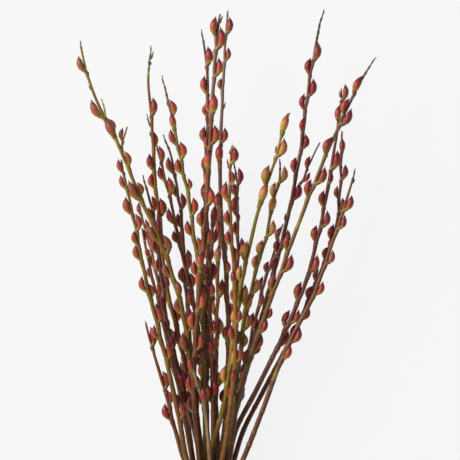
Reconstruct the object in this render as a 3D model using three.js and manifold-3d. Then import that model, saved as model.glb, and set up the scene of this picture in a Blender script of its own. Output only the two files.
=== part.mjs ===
// A gathered bunch of cut red-bud willow branches, lying on a flat surface.
// Millimetres. +Y runs along the bunch from the tie to the tips, +Z is up from the surface, and the
// origin is on the surface under the middle of the tie.

import * as THREE from 'three';
import { mergeVertices } from 'three/addons/utils/BufferGeometryUtils.js';
import Module from 'manifold-3d';

const wasm = await Module();
wasm.setup();

// Neck: where the tie holds the stems side by side, in rows one above the other
const STEM_RADIUS = 3.0;
const STEM_PITCH = 6.5;
const ROW_HEIGHT = STEM_PITCH * Math.cos(Math.PI / 6);
const ROW_SHIFTS = [0, 0, 0, 0, 0, -STEM_PITCH / 2];
const NECK_HALF_LENGTH = 14;
const APPROACH_Y = 31;
const APPROACH_SHARE = 0.36;

// Tie: a band of twine wound tight round the neck
const TIE_WIDTH = 12;
const TIE_THICKNESS = 2.4;
const TIE_CLEARANCE = 0.45;
const TIE_ROUNDING = 0.6;
const TIE_OUTLINE_STEPS = 20;
const TIE_OUTER = STEM_RADIUS + TIE_CLEARANCE + TIE_THICKNESS;
const KNOT_SIZE = [5.5, 4.2, 3.4];
const KNOT_RISE = 1.7;

// Height of the rows: level at the neck, then fanning apart towards the tips
const BOTTOM_ROW_Z = TIE_OUTER * Math.cos(Math.PI / TIE_OUTLINE_STEPS);
const FAN_LENGTH = 500;
const FAN_POWER = 0.8;
const ROW_SPREAD = 14.5;
const BOTTOM_ROW_RISE = 4;

// Cut ends below the tie
const END_LENGTH = 95;
const END_LENGTH_SPREAD = 9;
const END_WIDENING = 1.2;

// Stems
const TIP_RADIUS = 0.75;
const TAPER_POWER = 0.5;
const STEM_SIDES = 6;
const STEM_STEP = 31;
const STEP_CROWDING = 1.15;
const TWIG_RADIUS = 1.15;
const TRACE_STEPS = 240;
const DROOP_POWER = 1.5;

// Buds: pointed, with a slim foot, pressed against the stem in a spiral of two turns in five buds
const BUD_LENGTH = 18;
const BUD_RADIUS = 3.3;
const BUD_SIDES = 4;
const BUD_FLAT = Math.cos(Math.PI / BUD_SIDES);
const BUD_PROFILE = [[0, 0], [0.42, 1], [0.74, 0.8], [1, 0]];
const BUD_SEAT = 0.3;
const BUD_FULL_OUT = 0.42;
const BUD_HOOK = 0.4;
const BUDS_IN_A_SET = 6;
const BUD_BALLS = [[0.3, 0.7], [0.5, 1], [0.7, 0.85], [0.9, 0.4]];
const BUD_SPACING = 17;
const BUD_SPACING_GROWTH = 0.35;
const BUD_SPACING_VARIATION = [0.9, 1.15];
const BUD_SIZE_VARIATION = [0.88, 1.08];
const TOP_BUD_SIZE = 0.82;
const TOP_BUD_SIZE_STEP = 0.06;
const BUD_TURN = THREE.MathUtils.degToRad(144);
const BUD_TURN_STEP = THREE.MathUtils.degToRad(36);
const BUD_TURN_TRIES = 10;
const LOWEST_BUD_Y = 95;
const SIZE_DRAWS = 10;
const SPACING_DRAWS = 40;
const CLEARANCE = 0.45;
const BALL_STEP = 4;
const TWIG_FIRST_BUD = 8;
const TWIG_BUD_SHARE = 0.8;
const TWIG_BUD_SIZE = 0.85;

// Bark colours
const BARK = {
  olive: '#7a6332', golden: '#8c6a34', green: '#827a3a', brown: '#6b4630',
  grey_brown: '#715c4c', maroon: '#5f3533', tan: '#8f7350',
};
const TWINE_COLOUR = '#b59a6a';

// Branches in rows from the lowest to the highest. A path is [x, y] seen from above, from the tip down
// to just above the tie; size is the share of the full stem thickness; bud_size is the share of the
// full bud size; first_bud is its distance under the tip; taper is the power that thins the stem
// towards its tip; below the y of bare_below it has no more buds; one that rests has its tip on the
// surface.
// Buds that show well are given one by one: distance of the foot under the tip, side of the stem in
// degrees (0 right, 90 up, 180 left) and share of the full bud size.
const ROWS = [
  [
    { name: 'left_mid_grey', bark: 'grey_brown', size: 0.9, bud_size: 0.95,
      path: [[-51.5, 376], [-42, 349], [-32.5, 288], [-28, 219], [-22, 145], [-16, 85], [-11, 50]],
      buds: [[42, 180, 1.05], [66, 190, 0.8], [79, 0, 1.0], [97, 150, 0.9]] },
    { name: 'centre_yellow', bark: 'golden', size: 0.92, bud_size: 1.05, first_bud: 14,
      path: [[2, 312], [5.5, 282], [4, 245], [3, 190], [2, 117], [4, 50]] },
    { name: 'right_slim', bark: 'maroon', size: 0.85, bud_size: 0.85,
      path: [[20, 349], [23.5, 320], [24, 260], [22, 190], [17, 110], [12, 50]],
      buds: [[25, 0, 1.05], [37, 180, 0.9], [56, 140, 1.25]] },
  ],
  [
    { name: 'left_cluster', bark: 'grey_brown', size: 0.88, bud_size: 0.85, first_bud: 14, rests: true,
      path: [[-76, 308], [-69, 278], [-60, 245], [-48, 185], [-37, 145], [-28, 100], [-21, 50]] },
    { name: 'left_second', bark: 'golden', size: 1.0, bud_size: 1.0,
      path: [[-63, 465], [-66, 431], [-63, 394], [-58.5, 324], [-53, 273], [-50, 234], [-39, 187],
        [-24, 125], [-18, 85], [-13.5, 50]],
      buds: [[72, 35, 1.1], [104, 340, 0.95], [127, 150, 1.05], [145, 180, 0.95], [174, 0, 1.15],
        [180, 90, 0.75]] },
    { name: 'left_mid_brown', bark: 'brown', size: 0.95, bud_size: 0.95,
      path: [[-58, 365], [-50.5, 337], [-42, 302], [-30, 247], [-18, 194], [-11, 125], [-6, 50]],
      buds: [[19, 40, 1.0], [38, 180, 0.95], [53, 30, 1.1], [82, 180, 1.0], [102, 190, 0.85],
        [130, 0, 1.05]] },
    { name: 'right_dark', bark: 'maroon', size: 0.86, bud_size: 0.85, rests: true,
      path: [[69, 286], [60.5, 258], [49, 220], [37, 170], [27, 120], [13, 50]],
      buds: [[18, 175, 0.8], [46, 0, 1.0], [53, 180, 0.75], [72, 180, 0.9]] },
  ],
  [
    { name: 'left_red', bark: 'maroon', size: 1.0, bud_size: 0.95,
      path: [[-71.5, 335], [-65, 312], [-59, 286], [-53, 240], [-47, 185], [-32.5, 126], [-20, 80],
        [-14, 50]],
      buds: [[39, 20, 0.95], [47, 150, 0.8], [60, 30, 0.85], [66, 180, 0.85], [82, 170, 1.05]] },
    { name: 'centre_left', bark: 'maroon', size: 1.0, bud_size: 1.05,
      path: [[-12.5, 480.5], [-8, 450], [-6, 420], [-6.5, 385], [-8.5, 325], [-6, 260], [-8, 180],
        [-7, 50]],
      buds: [[38, 35, 1.15], [66, 180, 1.1], [88, 190, 0.75], [99, 30, 0.8], [115, 180, 1.0],
        [144, 110, 1.0], [174, 100, 1.15]] },
    { name: 'centre_right_tall', bark: 'grey_brown', size: 1.0, bud_size: 0.95,
      path: [[14, 499.5], [11, 465], [9, 420], [6, 350], [8, 282], [12, 238], [14.5, 160], [11.5, 90],
        [5.7, 50]],
      buds: [[25, 30, 1.05], [52, 0, 0.85], [81, 180, 0.75], [134, 0, 0.95], [154, 100, 1.15],
        [202, 135, 1.15], [210, 185, 0.9]] },
    { name: 'right_tall', bark: 'maroon', size: 1.0, bud_size: 0.95,
      path: [[110.5, 500.5], [105, 482], [94.5, 422], [88.5, 373], [79, 317], [65.5, 258], [51, 204],
        [33.5, 142], [19.5, 90], [12.5, 50]],
      twig: [[106, 367.5], [101.5, 359], [95, 344.5], [90, 332.5], [80.5, 318]],
      buds: [[54, 50, 1.15], [68, 180, 1.0], [90, 0, 1.1], [104, 180, 1.0], [126, 120, 0.9], [143, 0, 0.95],
        [168, 180, 1.0], [195, 0, 1.1], [240, 10, 0.95], [250, 180, 0.9]],
      twig_buds: [[30, 150, 0.8], [44, 30, 0.75]] },
    { name: 'right_outer_brown', bark: 'maroon', size: 0.95, bud_size: 0.95, bare_below: 165,
      path: [[128, 379], [126.5, 326], [121, 277], [102.5, 227], [80.5, 178], [49.5, 118.5], [30, 80],
        [20.5, 50]],
      buds: [[23, 80, 0.9], [36, 180, 0.8], [50, 0, 0.95], [69, 180, 0.8], [83, 30, 0.95], [112, 180, 1.0],
        [120, 150, 0.8], [132, 180, 0.8], [156, 185, 0.85]] },
  ],
  [
    { name: 'left_thin', bark: 'brown', size: 0.85, bud_size: 0.85, first_bud: 14,
      path: [[-72, 282], [-67, 256], [-57, 213], [-46, 165], [-33, 110], [-22, 50]] },
    { name: 'left_tall', bark: 'olive', size: 1.0, bud_size: 1.1,
      path: [[-133.5, 468.5], [-129.5, 448], [-121, 419], [-110, 394], [-95, 364], [-73, 311],
        [-54, 270], [-41, 233], [-29.5, 190], [-21.5, 125], [-17, 80], [-14, 50]],
      twig: [[-86.5, 383], [-91, 366], [-90.5, 353]],
      buds: [[33, 180, 1.05], [82, 175, 1.3], [99, 340, 0.9], [104, 90, 1.25], [136, 20, 0.95],
        [168, 0, 0.85], [172, 145, 1.35], [217, 165, 1.15], [233, 0, 1.25], [256, 185, 1.05]],
      twig_buds: [[16, 180, 0.8]] },
    { name: 'left_mid_green', bark: 'green', size: 0.98, bud_size: 1.0,
      path: [[-52, 434], [-43, 397], [-35, 359], [-26, 315], [-21, 281], [-14, 228], [-10, 165],
        [-9, 110], [-8, 50]],
      buds: [[43, 20, 1.0], [57, 90, 1.05], [72, 170, 1.0], [87, 10, 1.05], [102, 180, 1.0], [119, 0, 0.75],
        [144, 0, 1.05], [165, 180, 1.0], [182, 0, 0.95], [206, 180, 1.0], [210, 0, 1.1]] },
    { name: 'centre_dark', bark: 'maroon', size: 0.98, bud_size: 1.0,
      path: [[0, 299], [-2, 275], [-3.5, 240], [-4, 200], [-1, 110], [-0.5, 50]],
      buds: [[15, 80, 1.2]] },
    { name: 'right_green', bark: 'green', size: 0.9, bud_size: 0.95,
      path: [[66, 351], [65, 330], [57, 298], [51.5, 271], [39.5, 229], [29, 186], [24, 138], [13, 86],
        [7, 50]],
      twig: [[40, 216], [36.5, 207], [32.5, 193], [28, 174]],
      buds: [[25, 0, 1.05], [41, 170, 0.95], [56, 95, 1.1], [80, 0, 1.05], [101, 150, 1.0],
        [115, 175, 0.95], [140, 0, 1.0], [154, 180, 1.0], [158, 80, 1.1], [178, 0, 1.1]] },
    { name: 'right_red', bark: 'brown', size: 0.98, bud_size: 1.05, bare_below: 150,
      path: [[127, 421], [126, 398], [116.5, 340], [107.5, 289], [92, 229], [73.5, 184], [43.5, 122],
        [22, 80], [16, 50]],
      buds: [[13, 10, 1.0], [34, 125, 1.0], [83, 20, 1.2], [98, 70, 0.8], [121, 180, 1.0], [142, 0, 1.1],
        [157, 180, 1.0], [188, 30, 1.15], [219, 180, 1.15], [243, 10, 1.0], [249, 180, 1.1]] },
  ],
  [
    { name: 'left_low', bark: 'brown', size: 0.92, bud_size: 0.95,
      path: [[-68.5, 188.5], [-62, 163], [-51, 126], [-37.5, 75], [-30, 50]],
      buds: [[27, 0, 1.15], [72, 0, 1.1], [88, 10, 0.85], [104, 180, 1.1]] },
    { name: 'centre_tall', bark: 'brown', size: 1.0, bud_size: 1.15, taper: 0.3,
      path: [[6, 494.5], [2, 462], [-2, 400], [-6, 325], [-12.5, 245], [-18.5, 170], [-20, 120],
        [-15, 54]],
      buds: [[24, 155, 1.2], [37, 10, 1.35], [64, 350, 1.15], [100, 190, 0.85], [102, 75, 1.3],
        [132, 0, 1.2], [136, 200, 0.8]] },
    { name: 'yellow_tall', bark: 'olive', size: 0.98, bud_size: 1.15,
      path: [[75, 396.5], [68, 376], [59, 344], [45, 302], [37, 270], [26.5, 220], [19, 170],
        [12, 115], [0.5, 71], [-4, 50]],
      buds: [[23, 100, 1.25], [47, 0, 1.2], [77, 165, 1.2], [96, 95, 1.3], [156, 150, 1.2],
        [177, 180, 1.0]] },
    { name: 'right_olive', bark: 'olive', size: 1.0, bud_size: 1.1, bare_below: 150,
      path: [[161, 451.5], [152.5, 439], [142, 420], [120.5, 375], [101.5, 330], [82, 280],
        [60.5, 221], [40, 165], [23, 108], [15, 50]],
      buds: [[43, 115, 1.15], [66, 165, 1.0], [78, 10, 1.2], [110, 135, 1.1], [142, 0, 1.2],
        [156, 175, 1.05], [214, 175, 1.05], [236, 0, 1.2], [258, 180, 1.1], [286, 340, 0.8], [301, 5, 1.0]] },
    { name: 'right_low', bark: 'brown', size: 0.98, bud_size: 1.0, bare_below: 150,
      path: [[141, 341], [134, 316.5], [119, 270], [98, 212], [70.5, 158], [48, 98], [29, 50]],
      buds: [[45, 0, 1.05], [64, 10, 0.95], [101, 0, 0.95], [134, 0, 0.95], [188, 350, 1.1]] },
  ],
  [
    { name: 'left_outer', bark: 'olive', size: 0.98, bud_size: 1.0,
      path: [[-92, 350], [-89.5, 337], [-78.5, 286], [-66, 223], [-56, 184], [-45, 139], [-34.5, 89],
        [-27, 50]],
      buds: [[14, 150, 0.85], [31, 185, 0.9], [57, 180, 1.1], [74, 0, 1.0], [88, 150, 0.9], [104, 185, 1.0],
        [137, 180, 1.05], [143, 330, 0.85], [170, 0, 1.0], [186, 180, 0.95], [208, 0, 0.95], [270, 0, 1.1]] },
    { name: 'front_tan', bark: 'tan', size: 0.96, bud_size: 1.1, first_bud: 13,
      path: [[-21.5, 151], [-16.5, 126], [-10, 107], [-6, 75], [-4, 50]] },
    { name: 'right_brown', bark: 'golden', size: 0.94, bud_size: 0.95,
      path: [[18, 364], [15.5, 330], [18, 270], [21, 215], [21, 150], [14, 85], [8, 50]],
      buds: [[20, 0, 1.1], [40, 0, 0.8], [58, 180, 1.25], [82, 180, 1.0]] },
  ],
];

// A steady stand-in for chance: the same two whole numbers always give the same value from 0 to 1
function chance(i, j) {
  const value = Math.sin(i * 12.9898 + j * 78.233) * 43758.5453;
  return value - Math.floor(value);
}

function between([low, high], i, j) {
  return low + (high - low) * chance(i, j);
}

function rowHeight(row, y) {
  const fan = Math.max(0, (y - NECK_HALF_LENGTH) / (FAN_LENGTH - NECK_HALF_LENGTH)) ** FAN_POWER;
  return BOTTOM_ROW_Z + BOTTOM_ROW_RISE * fan + row * (ROW_HEIGHT + ROW_SPREAD * fan);
}

// Centre line of a stem, traced finely, with its length and its thickness along the way
class Stem {
  constructor(points, baseRadius, evenLength, taper = TAPER_POWER) {
    const curve = new THREE.CatmullRomCurve3(points, false, 'catmullrom', 0.5);
    this.trace = curve.getPoints(TRACE_STEPS);
    this.along = [0];
    for (let i = 1; i < this.trace.length; i += 1) {
      this.along.push(this.along[i - 1] + this.trace[i].distanceTo(this.trace[i - 1]));
    }
    this.length = this.along[TRACE_STEPS];
    this.baseRadius = baseRadius;
    this.evenLength = evenLength;
    this.taper = taper;
  }

  // Point, direction towards the tip, radius, and the two directions across, at a distance from the tip
  at(distance) {
    let i = 1;
    while (i < TRACE_STEPS && this.along[i] < distance) i += 1;
    const [before, after] = [this.trace[i - 1], this.trace[i]];
    const share = (distance - this.along[i - 1]) / (this.along[i] - this.along[i - 1]);
    const point = before.clone().lerp(after, share);
    const forward = before.clone().sub(after).normalize();
    const side = forward.clone().cross(new THREE.Vector3(0, 0, 1)).normalize();
    const up = side.clone().cross(forward);
    return { point, forward, side, up, radius: this.radius(distance) };
  }

  distanceAt(y) {
    return this.along[this.trace.findIndex((point) => point.y <= y)];
  }

  // Where the rings that shape the stem lie: closer near the tip, with one straight piece in the neck
  rings() {
    const reachesNeck = this.trace[TRACE_STEPS].y < -NECK_HALF_LENGTH;
    const bent = reachesNeck ? this.distanceAt(NECK_HALF_LENGTH) : this.length;
    const steps = Math.max(4, Math.round(bent / STEM_STEP));
    const rings = Array.from({ length: steps + 1 }, (_, i) => (i / steps) ** STEP_CROWDING * bent);
    return reachesNeck ? [...rings, this.distanceAt(-NECK_HALF_LENGTH), this.length] : rings;
  }

  radius(distance) {
    const grown = Math.min(1, distance / (this.length - this.evenLength)) ** this.taper;
    return TIP_RADIUS + (this.baseRadius - TIP_RADIUS) * grown;
  }
}

// Path of a branch through its place in the neck, down to its cut end
function stemPoints(branch) {
  const { row, neckX, path, index, rests } = branch;
  const tipY = path[0][1];
  const drop = rests ? rowHeight(row, tipY) - TIP_RADIUS * Math.cos(Math.PI / STEM_SIDES) : 0;
  const points = path.map(([x, y]) => (
    new THREE.Vector3(x, y, rowHeight(row, y) - drop * (y / tipY) ** DROOP_POWER)));
  const [lastX] = path[path.length - 1];
  const neckZ = rowHeight(row, 0);
  const middleZ = BOTTOM_ROW_Z + ROW_HEIGHT * (ROWS.length - 1) / 2;
  const approachX = neckX + APPROACH_SHARE * (lastX - neckX);
  const endY = -between([END_LENGTH - END_LENGTH_SPREAD, END_LENGTH + END_LENGTH_SPREAD], index, 1);
  points.push(
    new THREE.Vector3(approachX, APPROACH_Y, rowHeight(row, APPROACH_Y)),
    new THREE.Vector3(neckX, NECK_HALF_LENGTH, neckZ),
    new THREE.Vector3(neckX, -NECK_HALF_LENGTH, neckZ),
    new THREE.Vector3(neckX * END_WIDENING, endY, middleZ + (neckZ - middleZ) * END_WIDENING),
  );
  return points;
}

// Plain geometry with shared corners merged and only positions left
function shell(geometry) {
  geometry.deleteAttribute('normal');
  geometry.deleteAttribute('uv');
  return mergeVertices(geometry, 1e-5);
}

function solid(geometry) {
  const merged = shell(geometry);
  return new wasm.Manifold(new wasm.Mesh({
    numProp: 3,
    vertProperties: new Float32Array(merged.attributes.position.array),
    triVerts: new Uint32Array(merged.index.array),
  }));
}

// A tapered round bar with closed ends, bent along the stem's centre line
function stemSolid(stem) {
  const rings = stem.rings();
  const steps = rings.length - 1;
  const bar = new THREE.CylinderGeometry(1, 1, 1, STEM_SIDES, steps);
  const position = bar.attributes.position;
  for (let i = 0; i < position.count; i += 1) {
    const place = stem.at(rings[Math.round((0.5 - position.getY(i)) * steps)]);
    const across = place.side.multiplyScalar(-position.getZ(i) * place.radius);
    const upward = place.up.multiplyScalar(position.getX(i) * place.radius);
    const moved = place.point.add(across).add(upward);
    position.setXYZ(i, moved.x, moved.y, moved.z);
  }
  return solid(bar);
}

// Middle of a bud at a share of its length: it leaves the stem, lies alongside it and hooks back
function budMiddle(bud, share) {
  const { place, radial, length, scale } = bud;
  const alongside = place.radius + BUD_SEAT + BUD_RADIUS * BUD_FLAT * scale;
  const leaving = 1 - Math.max(0, 1 - share / BUD_FULL_OUT) ** 2;
  const hook = BUD_HOOK * Math.max(0, (share - BUD_FULL_OUT) / (1 - BUD_FULL_OUT)) ** 2;
  return place.point.clone().addScaledVector(place.forward, share * length)
    .addScaledVector(radial, alongside * (leaving - hook));
}

function budSolid(bud) {
  const profile = BUD_PROFILE.map(([share, width]) => new THREE.Vector2(width, share));
  const lathe = new THREE.LatheGeometry(profile, BUD_SIDES, Math.PI / BUD_SIDES);
  const sideways = bud.place.forward.clone().cross(bud.radial);
  const position = lathe.attributes.position;
  for (let i = 0; i < position.count; i += 1) {
    const width = BUD_RADIUS * bud.scale;
    const moved = budMiddle(bud, position.getY(i))
      .addScaledVector(bud.radial, position.getZ(i) * width)
      .addScaledVector(sideways, position.getX(i) * width);
    position.setXYZ(i, moved.x, moved.y, moved.z);
  }
  return solid(lathe);
}

// Balls that stand for a bud, or for a stretch of stem, when clearances are measured
function budBalls(bud) {
  return BUD_BALLS.map(([share, width]) => (
    { point: budMiddle(bud, share), radius: BUD_RADIUS * bud.scale * width }));
}

function stemBalls(stem) {
  const balls = [];
  for (let distance = 0; distance <= stem.length; distance += BALL_STEP) {
    const { point, radius } = stem.at(distance);
    balls.push({ point, radius });
  }
  return balls;
}

function touches(balls, others) {
  return balls.some((ball) => ball.point.z - ball.radius < CLEARANCE || others.some((other) => (
    ball.point.distanceTo(other.point) < ball.radius + other.radius + CLEARANCE)));
}

// Buds down a stem: the given ones first, and the rest below them in a spiral, down to the lowest y.
// Each turns round the stem until it is clear of everything else.
function placeBuds(stem, given, firstBud, lowestY, size, index, obstacles) {
  const buds = [];
  let distance = firstBud;
  for (let count = 0; distance < stem.length; count += 1) {
    let start = chance(index, 2) * 2 * Math.PI + count * BUD_TURN;
    let scale = size * between(BUD_SIZE_VARIATION, index, count + SIZE_DRAWS)
      * Math.min(1, TOP_BUD_SIZE + TOP_BUD_SIZE_STEP * count);
    if (count < given.length) {
      distance = given[count][0];
      start = THREE.MathUtils.degToRad(given[count][1]);
      scale = given[count][2];
    }
    const place = stem.at(distance);
    if (count >= given.length && place.point.y < lowestY) break;
    for (let attempt = 0; attempt < BUD_TURN_TRIES; attempt += 1) {
      const turn = Math.ceil(attempt / 2) * (attempt % 2 ? 1 : -1) * BUD_TURN_STEP;
      const radial = place.side.clone().multiplyScalar(Math.cos(start + turn))
        .addScaledVector(place.up, Math.sin(start + turn));
      const bud = { place, radial, scale, length: BUD_LENGTH * scale };
      const balls = budBalls(bud);
      if (!touches(balls, obstacles)) {
        buds.push(bud);
        obstacles.push(...balls);
        break;
      }
    }
    const growth = 1 + BUD_SPACING_GROWTH * distance / FAN_LENGTH;
    distance += BUD_SPACING * growth
      * between(BUD_SPACING_VARIATION, index, count + SPACING_DRAWS);
  }
  return buds;
}

// Outline of everything within a reach of the neck's stems, as points round it
function neckOutline(reach) {
  const outline = [];
  for (let i = 0; i < TIE_OUTLINE_STEPS; i += 1) {
    const angle = (i + 0.5) * 2 * Math.PI / TIE_OUTLINE_STEPS;
    const direction = new THREE.Vector2(Math.cos(angle), Math.sin(angle));
    const places = branches.map(({ neckX, row }) => new THREE.Vector2(neckX, rowHeight(row, 0)));
    const furthest = places.reduce((best, place) => (
      place.dot(direction) > best.dot(direction) ? place : best));
    outline.push(furthest.clone().addScaledVector(direction, reach));
  }
  return outline;
}

function tieSolid() {
  const band = new THREE.Shape(neckOutline(TIE_OUTER - TIE_ROUNDING));
  band.holes.push(new THREE.Path(neckOutline(STEM_RADIUS + TIE_CLEARANCE + TIE_ROUNDING)));
  const geometry = new THREE.ExtrudeGeometry(band, {
    depth: TIE_WIDTH - 2 * TIE_ROUNDING,
    bevelSize: TIE_ROUNDING,
    bevelThickness: TIE_ROUNDING,
    bevelSegments: 1,
  });
  geometry.translate(0, 0, -TIE_WIDTH / 2 + TIE_ROUNDING);
  geometry.rotateX(Math.PI / 2);
  const top = neckOutline(TIE_OUTER).reduce((best, place) => (place.y > best.y ? place : best));
  const knot = new THREE.SphereGeometry(1, 10, 6);
  knot.scale(...KNOT_SIZE);
  knot.translate(top.x, 0, top.y + KNOT_RISE);
  return solid(geometry).add(solid(knot));
}

function mesh(name, manifold, colour, roughness) {
  const { vertProperties, triVerts } = manifold.getMesh();
  const geometry = new THREE.BufferGeometry();
  geometry.setAttribute('position', new THREE.BufferAttribute(vertProperties, 3));
  geometry.setIndex(new THREE.BufferAttribute(triVerts, 1));
  geometry.computeVertexNormals();
  const material = new THREE.MeshStandardMaterial({ color: colour, roughness, metalness: 0 });
  const piece = new THREE.Mesh(geometry, material);
  piece.name = name;
  return piece;
}

// Places in the neck: each row's branches stand side by side in the order in which they arrive
const branches = ROWS.flatMap((rowBranches, row) => {
  const arriving = [...rowBranches].sort((a, b) => a.path.at(-1)[0] - b.path.at(-1)[0]);
  return arriving.map((branch, place) => ({
    ...branch,
    row,
    neckX: (place - (arriving.length - 1) / 2) * STEM_PITCH + ROW_SHIFTS[row],
  }));
});

branches.forEach((branch, index) => {
  branch.index = index;
  branch.stem = new Stem(stemPoints(branch), STEM_RADIUS * branch.size, END_LENGTH, branch.taper);
  if (branch.twig) {
    const points = branch.twig.map(([x, y]) => new THREE.Vector3(x, y, rowHeight(branch.row, y)));
    branch.twigStem = new Stem(points, TWIG_RADIUS, 0);
  }
});

const willowBunch = new THREE.Group();

const allBalls = branches.map(({ stem, twigStem }) => (
  twigStem ? [...stemBalls(stem), ...stemBalls(twigStem)] : stemBalls(stem)));
const budsSoFar = [];
branches.forEach((branch) => {
  const { stem, twigStem, index, bud_size: size } = branch;
  const obstacles = [...allBalls.filter((_, other) => other !== index).flat(), ...budsSoFar];
  const known = obstacles.length;
  const buds = placeBuds(
    stem, branch.buds ?? [], branch.first_bud ?? 0, branch.bare_below ?? LOWEST_BUD_Y, size, index,
    obstacles);
  if (twigStem) {
    const lowestY = twigStem.at(twigStem.length * TWIG_BUD_SHARE).point.y;
    buds.push(...placeBuds(twigStem, branch.twig_buds ?? [], TWIG_FIRST_BUD, lowestY,
      size * TWIG_BUD_SIZE, index + branches.length, obstacles));
  }
  budsSoFar.push(...obstacles.slice(known));
  let body = stemSolid(stem);
  if (twigStem) body = body.add(stemSolid(twigStem));
  buds.filter((_, count) => (count + 1) % BUDS_IN_A_SET).forEach((bud) => {
    body = body.add(budSolid(bud));
  });
  willowBunch.add(mesh(`branch_${branch.name}`, body, BARK[branch.bark], 0.55));
});

willowBunch.add(mesh('twine_tie', tieSolid(), TWINE_COLOUR, 0.9));

export default willowBunch;
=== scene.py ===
"""A bunch of red-bud willow branches tied with twine, lying on a pale table."""

import math
from functools import cache

import bpy
import numpy as np
from bpy.props import FloatProperty, FloatVectorProperty, IntProperty, PointerProperty
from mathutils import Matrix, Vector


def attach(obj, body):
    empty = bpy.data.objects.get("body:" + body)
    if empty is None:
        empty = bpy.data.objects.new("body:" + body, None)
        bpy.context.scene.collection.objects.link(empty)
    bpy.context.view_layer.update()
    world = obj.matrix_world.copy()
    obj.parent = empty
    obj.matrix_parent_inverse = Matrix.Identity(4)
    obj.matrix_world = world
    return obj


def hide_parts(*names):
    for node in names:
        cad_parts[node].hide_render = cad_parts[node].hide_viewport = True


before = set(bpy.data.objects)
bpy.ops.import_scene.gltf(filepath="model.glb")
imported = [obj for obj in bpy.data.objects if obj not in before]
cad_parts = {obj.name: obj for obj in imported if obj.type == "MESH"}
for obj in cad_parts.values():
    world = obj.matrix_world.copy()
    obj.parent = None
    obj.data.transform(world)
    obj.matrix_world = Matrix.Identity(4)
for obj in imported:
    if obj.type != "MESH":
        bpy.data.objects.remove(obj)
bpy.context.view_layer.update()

bl_info = {
    "name": "Willow bunch",
    "version": (1, 0, 0),
    "blender": (4, 5, 0),
    "location": "View3D > Sidebar > Willow",
    "description": "Grows a tied bunch of red-bud willow branches round its solid frame",
    "category": "Add Mesh",
}

MM = 0.001
BODY = "root"

# Neck, tie and fan: the same sizes as the solids
STEM_RADIUS = 3.0 * MM
STEM_PITCH = 6.5 * MM
ROW_HEIGHT = STEM_PITCH * math.cos(math.pi / 6)
ROWS = 6
ROW_SHIFTS = (0, 0, 0, 0, 0, -STEM_PITCH / 2)
NECK_HALF_LENGTH = 14 * MM
APPROACH_Y = 31 * MM
APPROACH_SHARE = 0.36
TIE_WIDTH = 12 * MM
TIE_THICKNESS = 2.4 * MM
TIE_CLEARANCE = 0.45 * MM
TIE_OUTLINE_STEPS = 20
TIE_OUTER = STEM_RADIUS + TIE_CLEARANCE + TIE_THICKNESS
KNOT_SIZE = (5.5 * MM, 4.2 * MM, 3.4 * MM)
KNOT_RISE = 1.7 * MM
BOTTOM_ROW_Z = TIE_OUTER * math.cos(math.pi / TIE_OUTLINE_STEPS)
FAN_LENGTH = 500 * MM
FAN_POWER = 0.8
ROW_SPREAD = 14.5 * MM
BOTTOM_ROW_RISE = 4 * MM
END_LENGTH = 95 * MM
END_LENGTH_SPREAD = 9 * MM
END_WIDENING = 1.2

# Stems and buds: the same sizes as the solids
TIP_RADIUS = 0.75 * MM
TAPER_POWER = 0.5
STEM_SIDES = 6
TWIG_RADIUS = 1.15 * MM
TRACE_STEPS = 240
DROOP_POWER = 1.5
BUD_LENGTH = 18 * MM
BUD_RADIUS = 3.3 * MM
BUD_FLAT = math.cos(math.pi / 4)
BUD_SEAT = 0.3 * MM
BUD_FULL_OUT = 0.42
BUD_HOOK = 0.4
BUD_BALLS = np.array([[0.3, 0.7], [0.5, 1], [0.7, 0.85], [0.9, 0.4]])
BUD_SPACING = 17 * MM
BUD_SPACING_GROWTH = 0.35
BUD_SPACING_VARIATION = (0.9, 1.15)
BUD_SIZE_VARIATION = (0.88, 1.08)
TOP_BUD_SIZE = 0.82
TOP_BUD_SIZE_STEP = 0.06
BUD_TURN = math.radians(144)
BUD_TURN_STEP = math.radians(36)
BUD_TURN_TRIES = 10
LOWEST_BUD_Y = 95 * MM
SIZE_DRAWS = 10
SPACING_DRAWS = 40
CLEARANCE = 0.45 * MM
BALL_STEP = 4 * MM
TWIG_FIRST_BUD = 8 * MM
TWIG_BUD_SHARE = 0.8
TWIG_BUD_SIZE = 0.85

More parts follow.
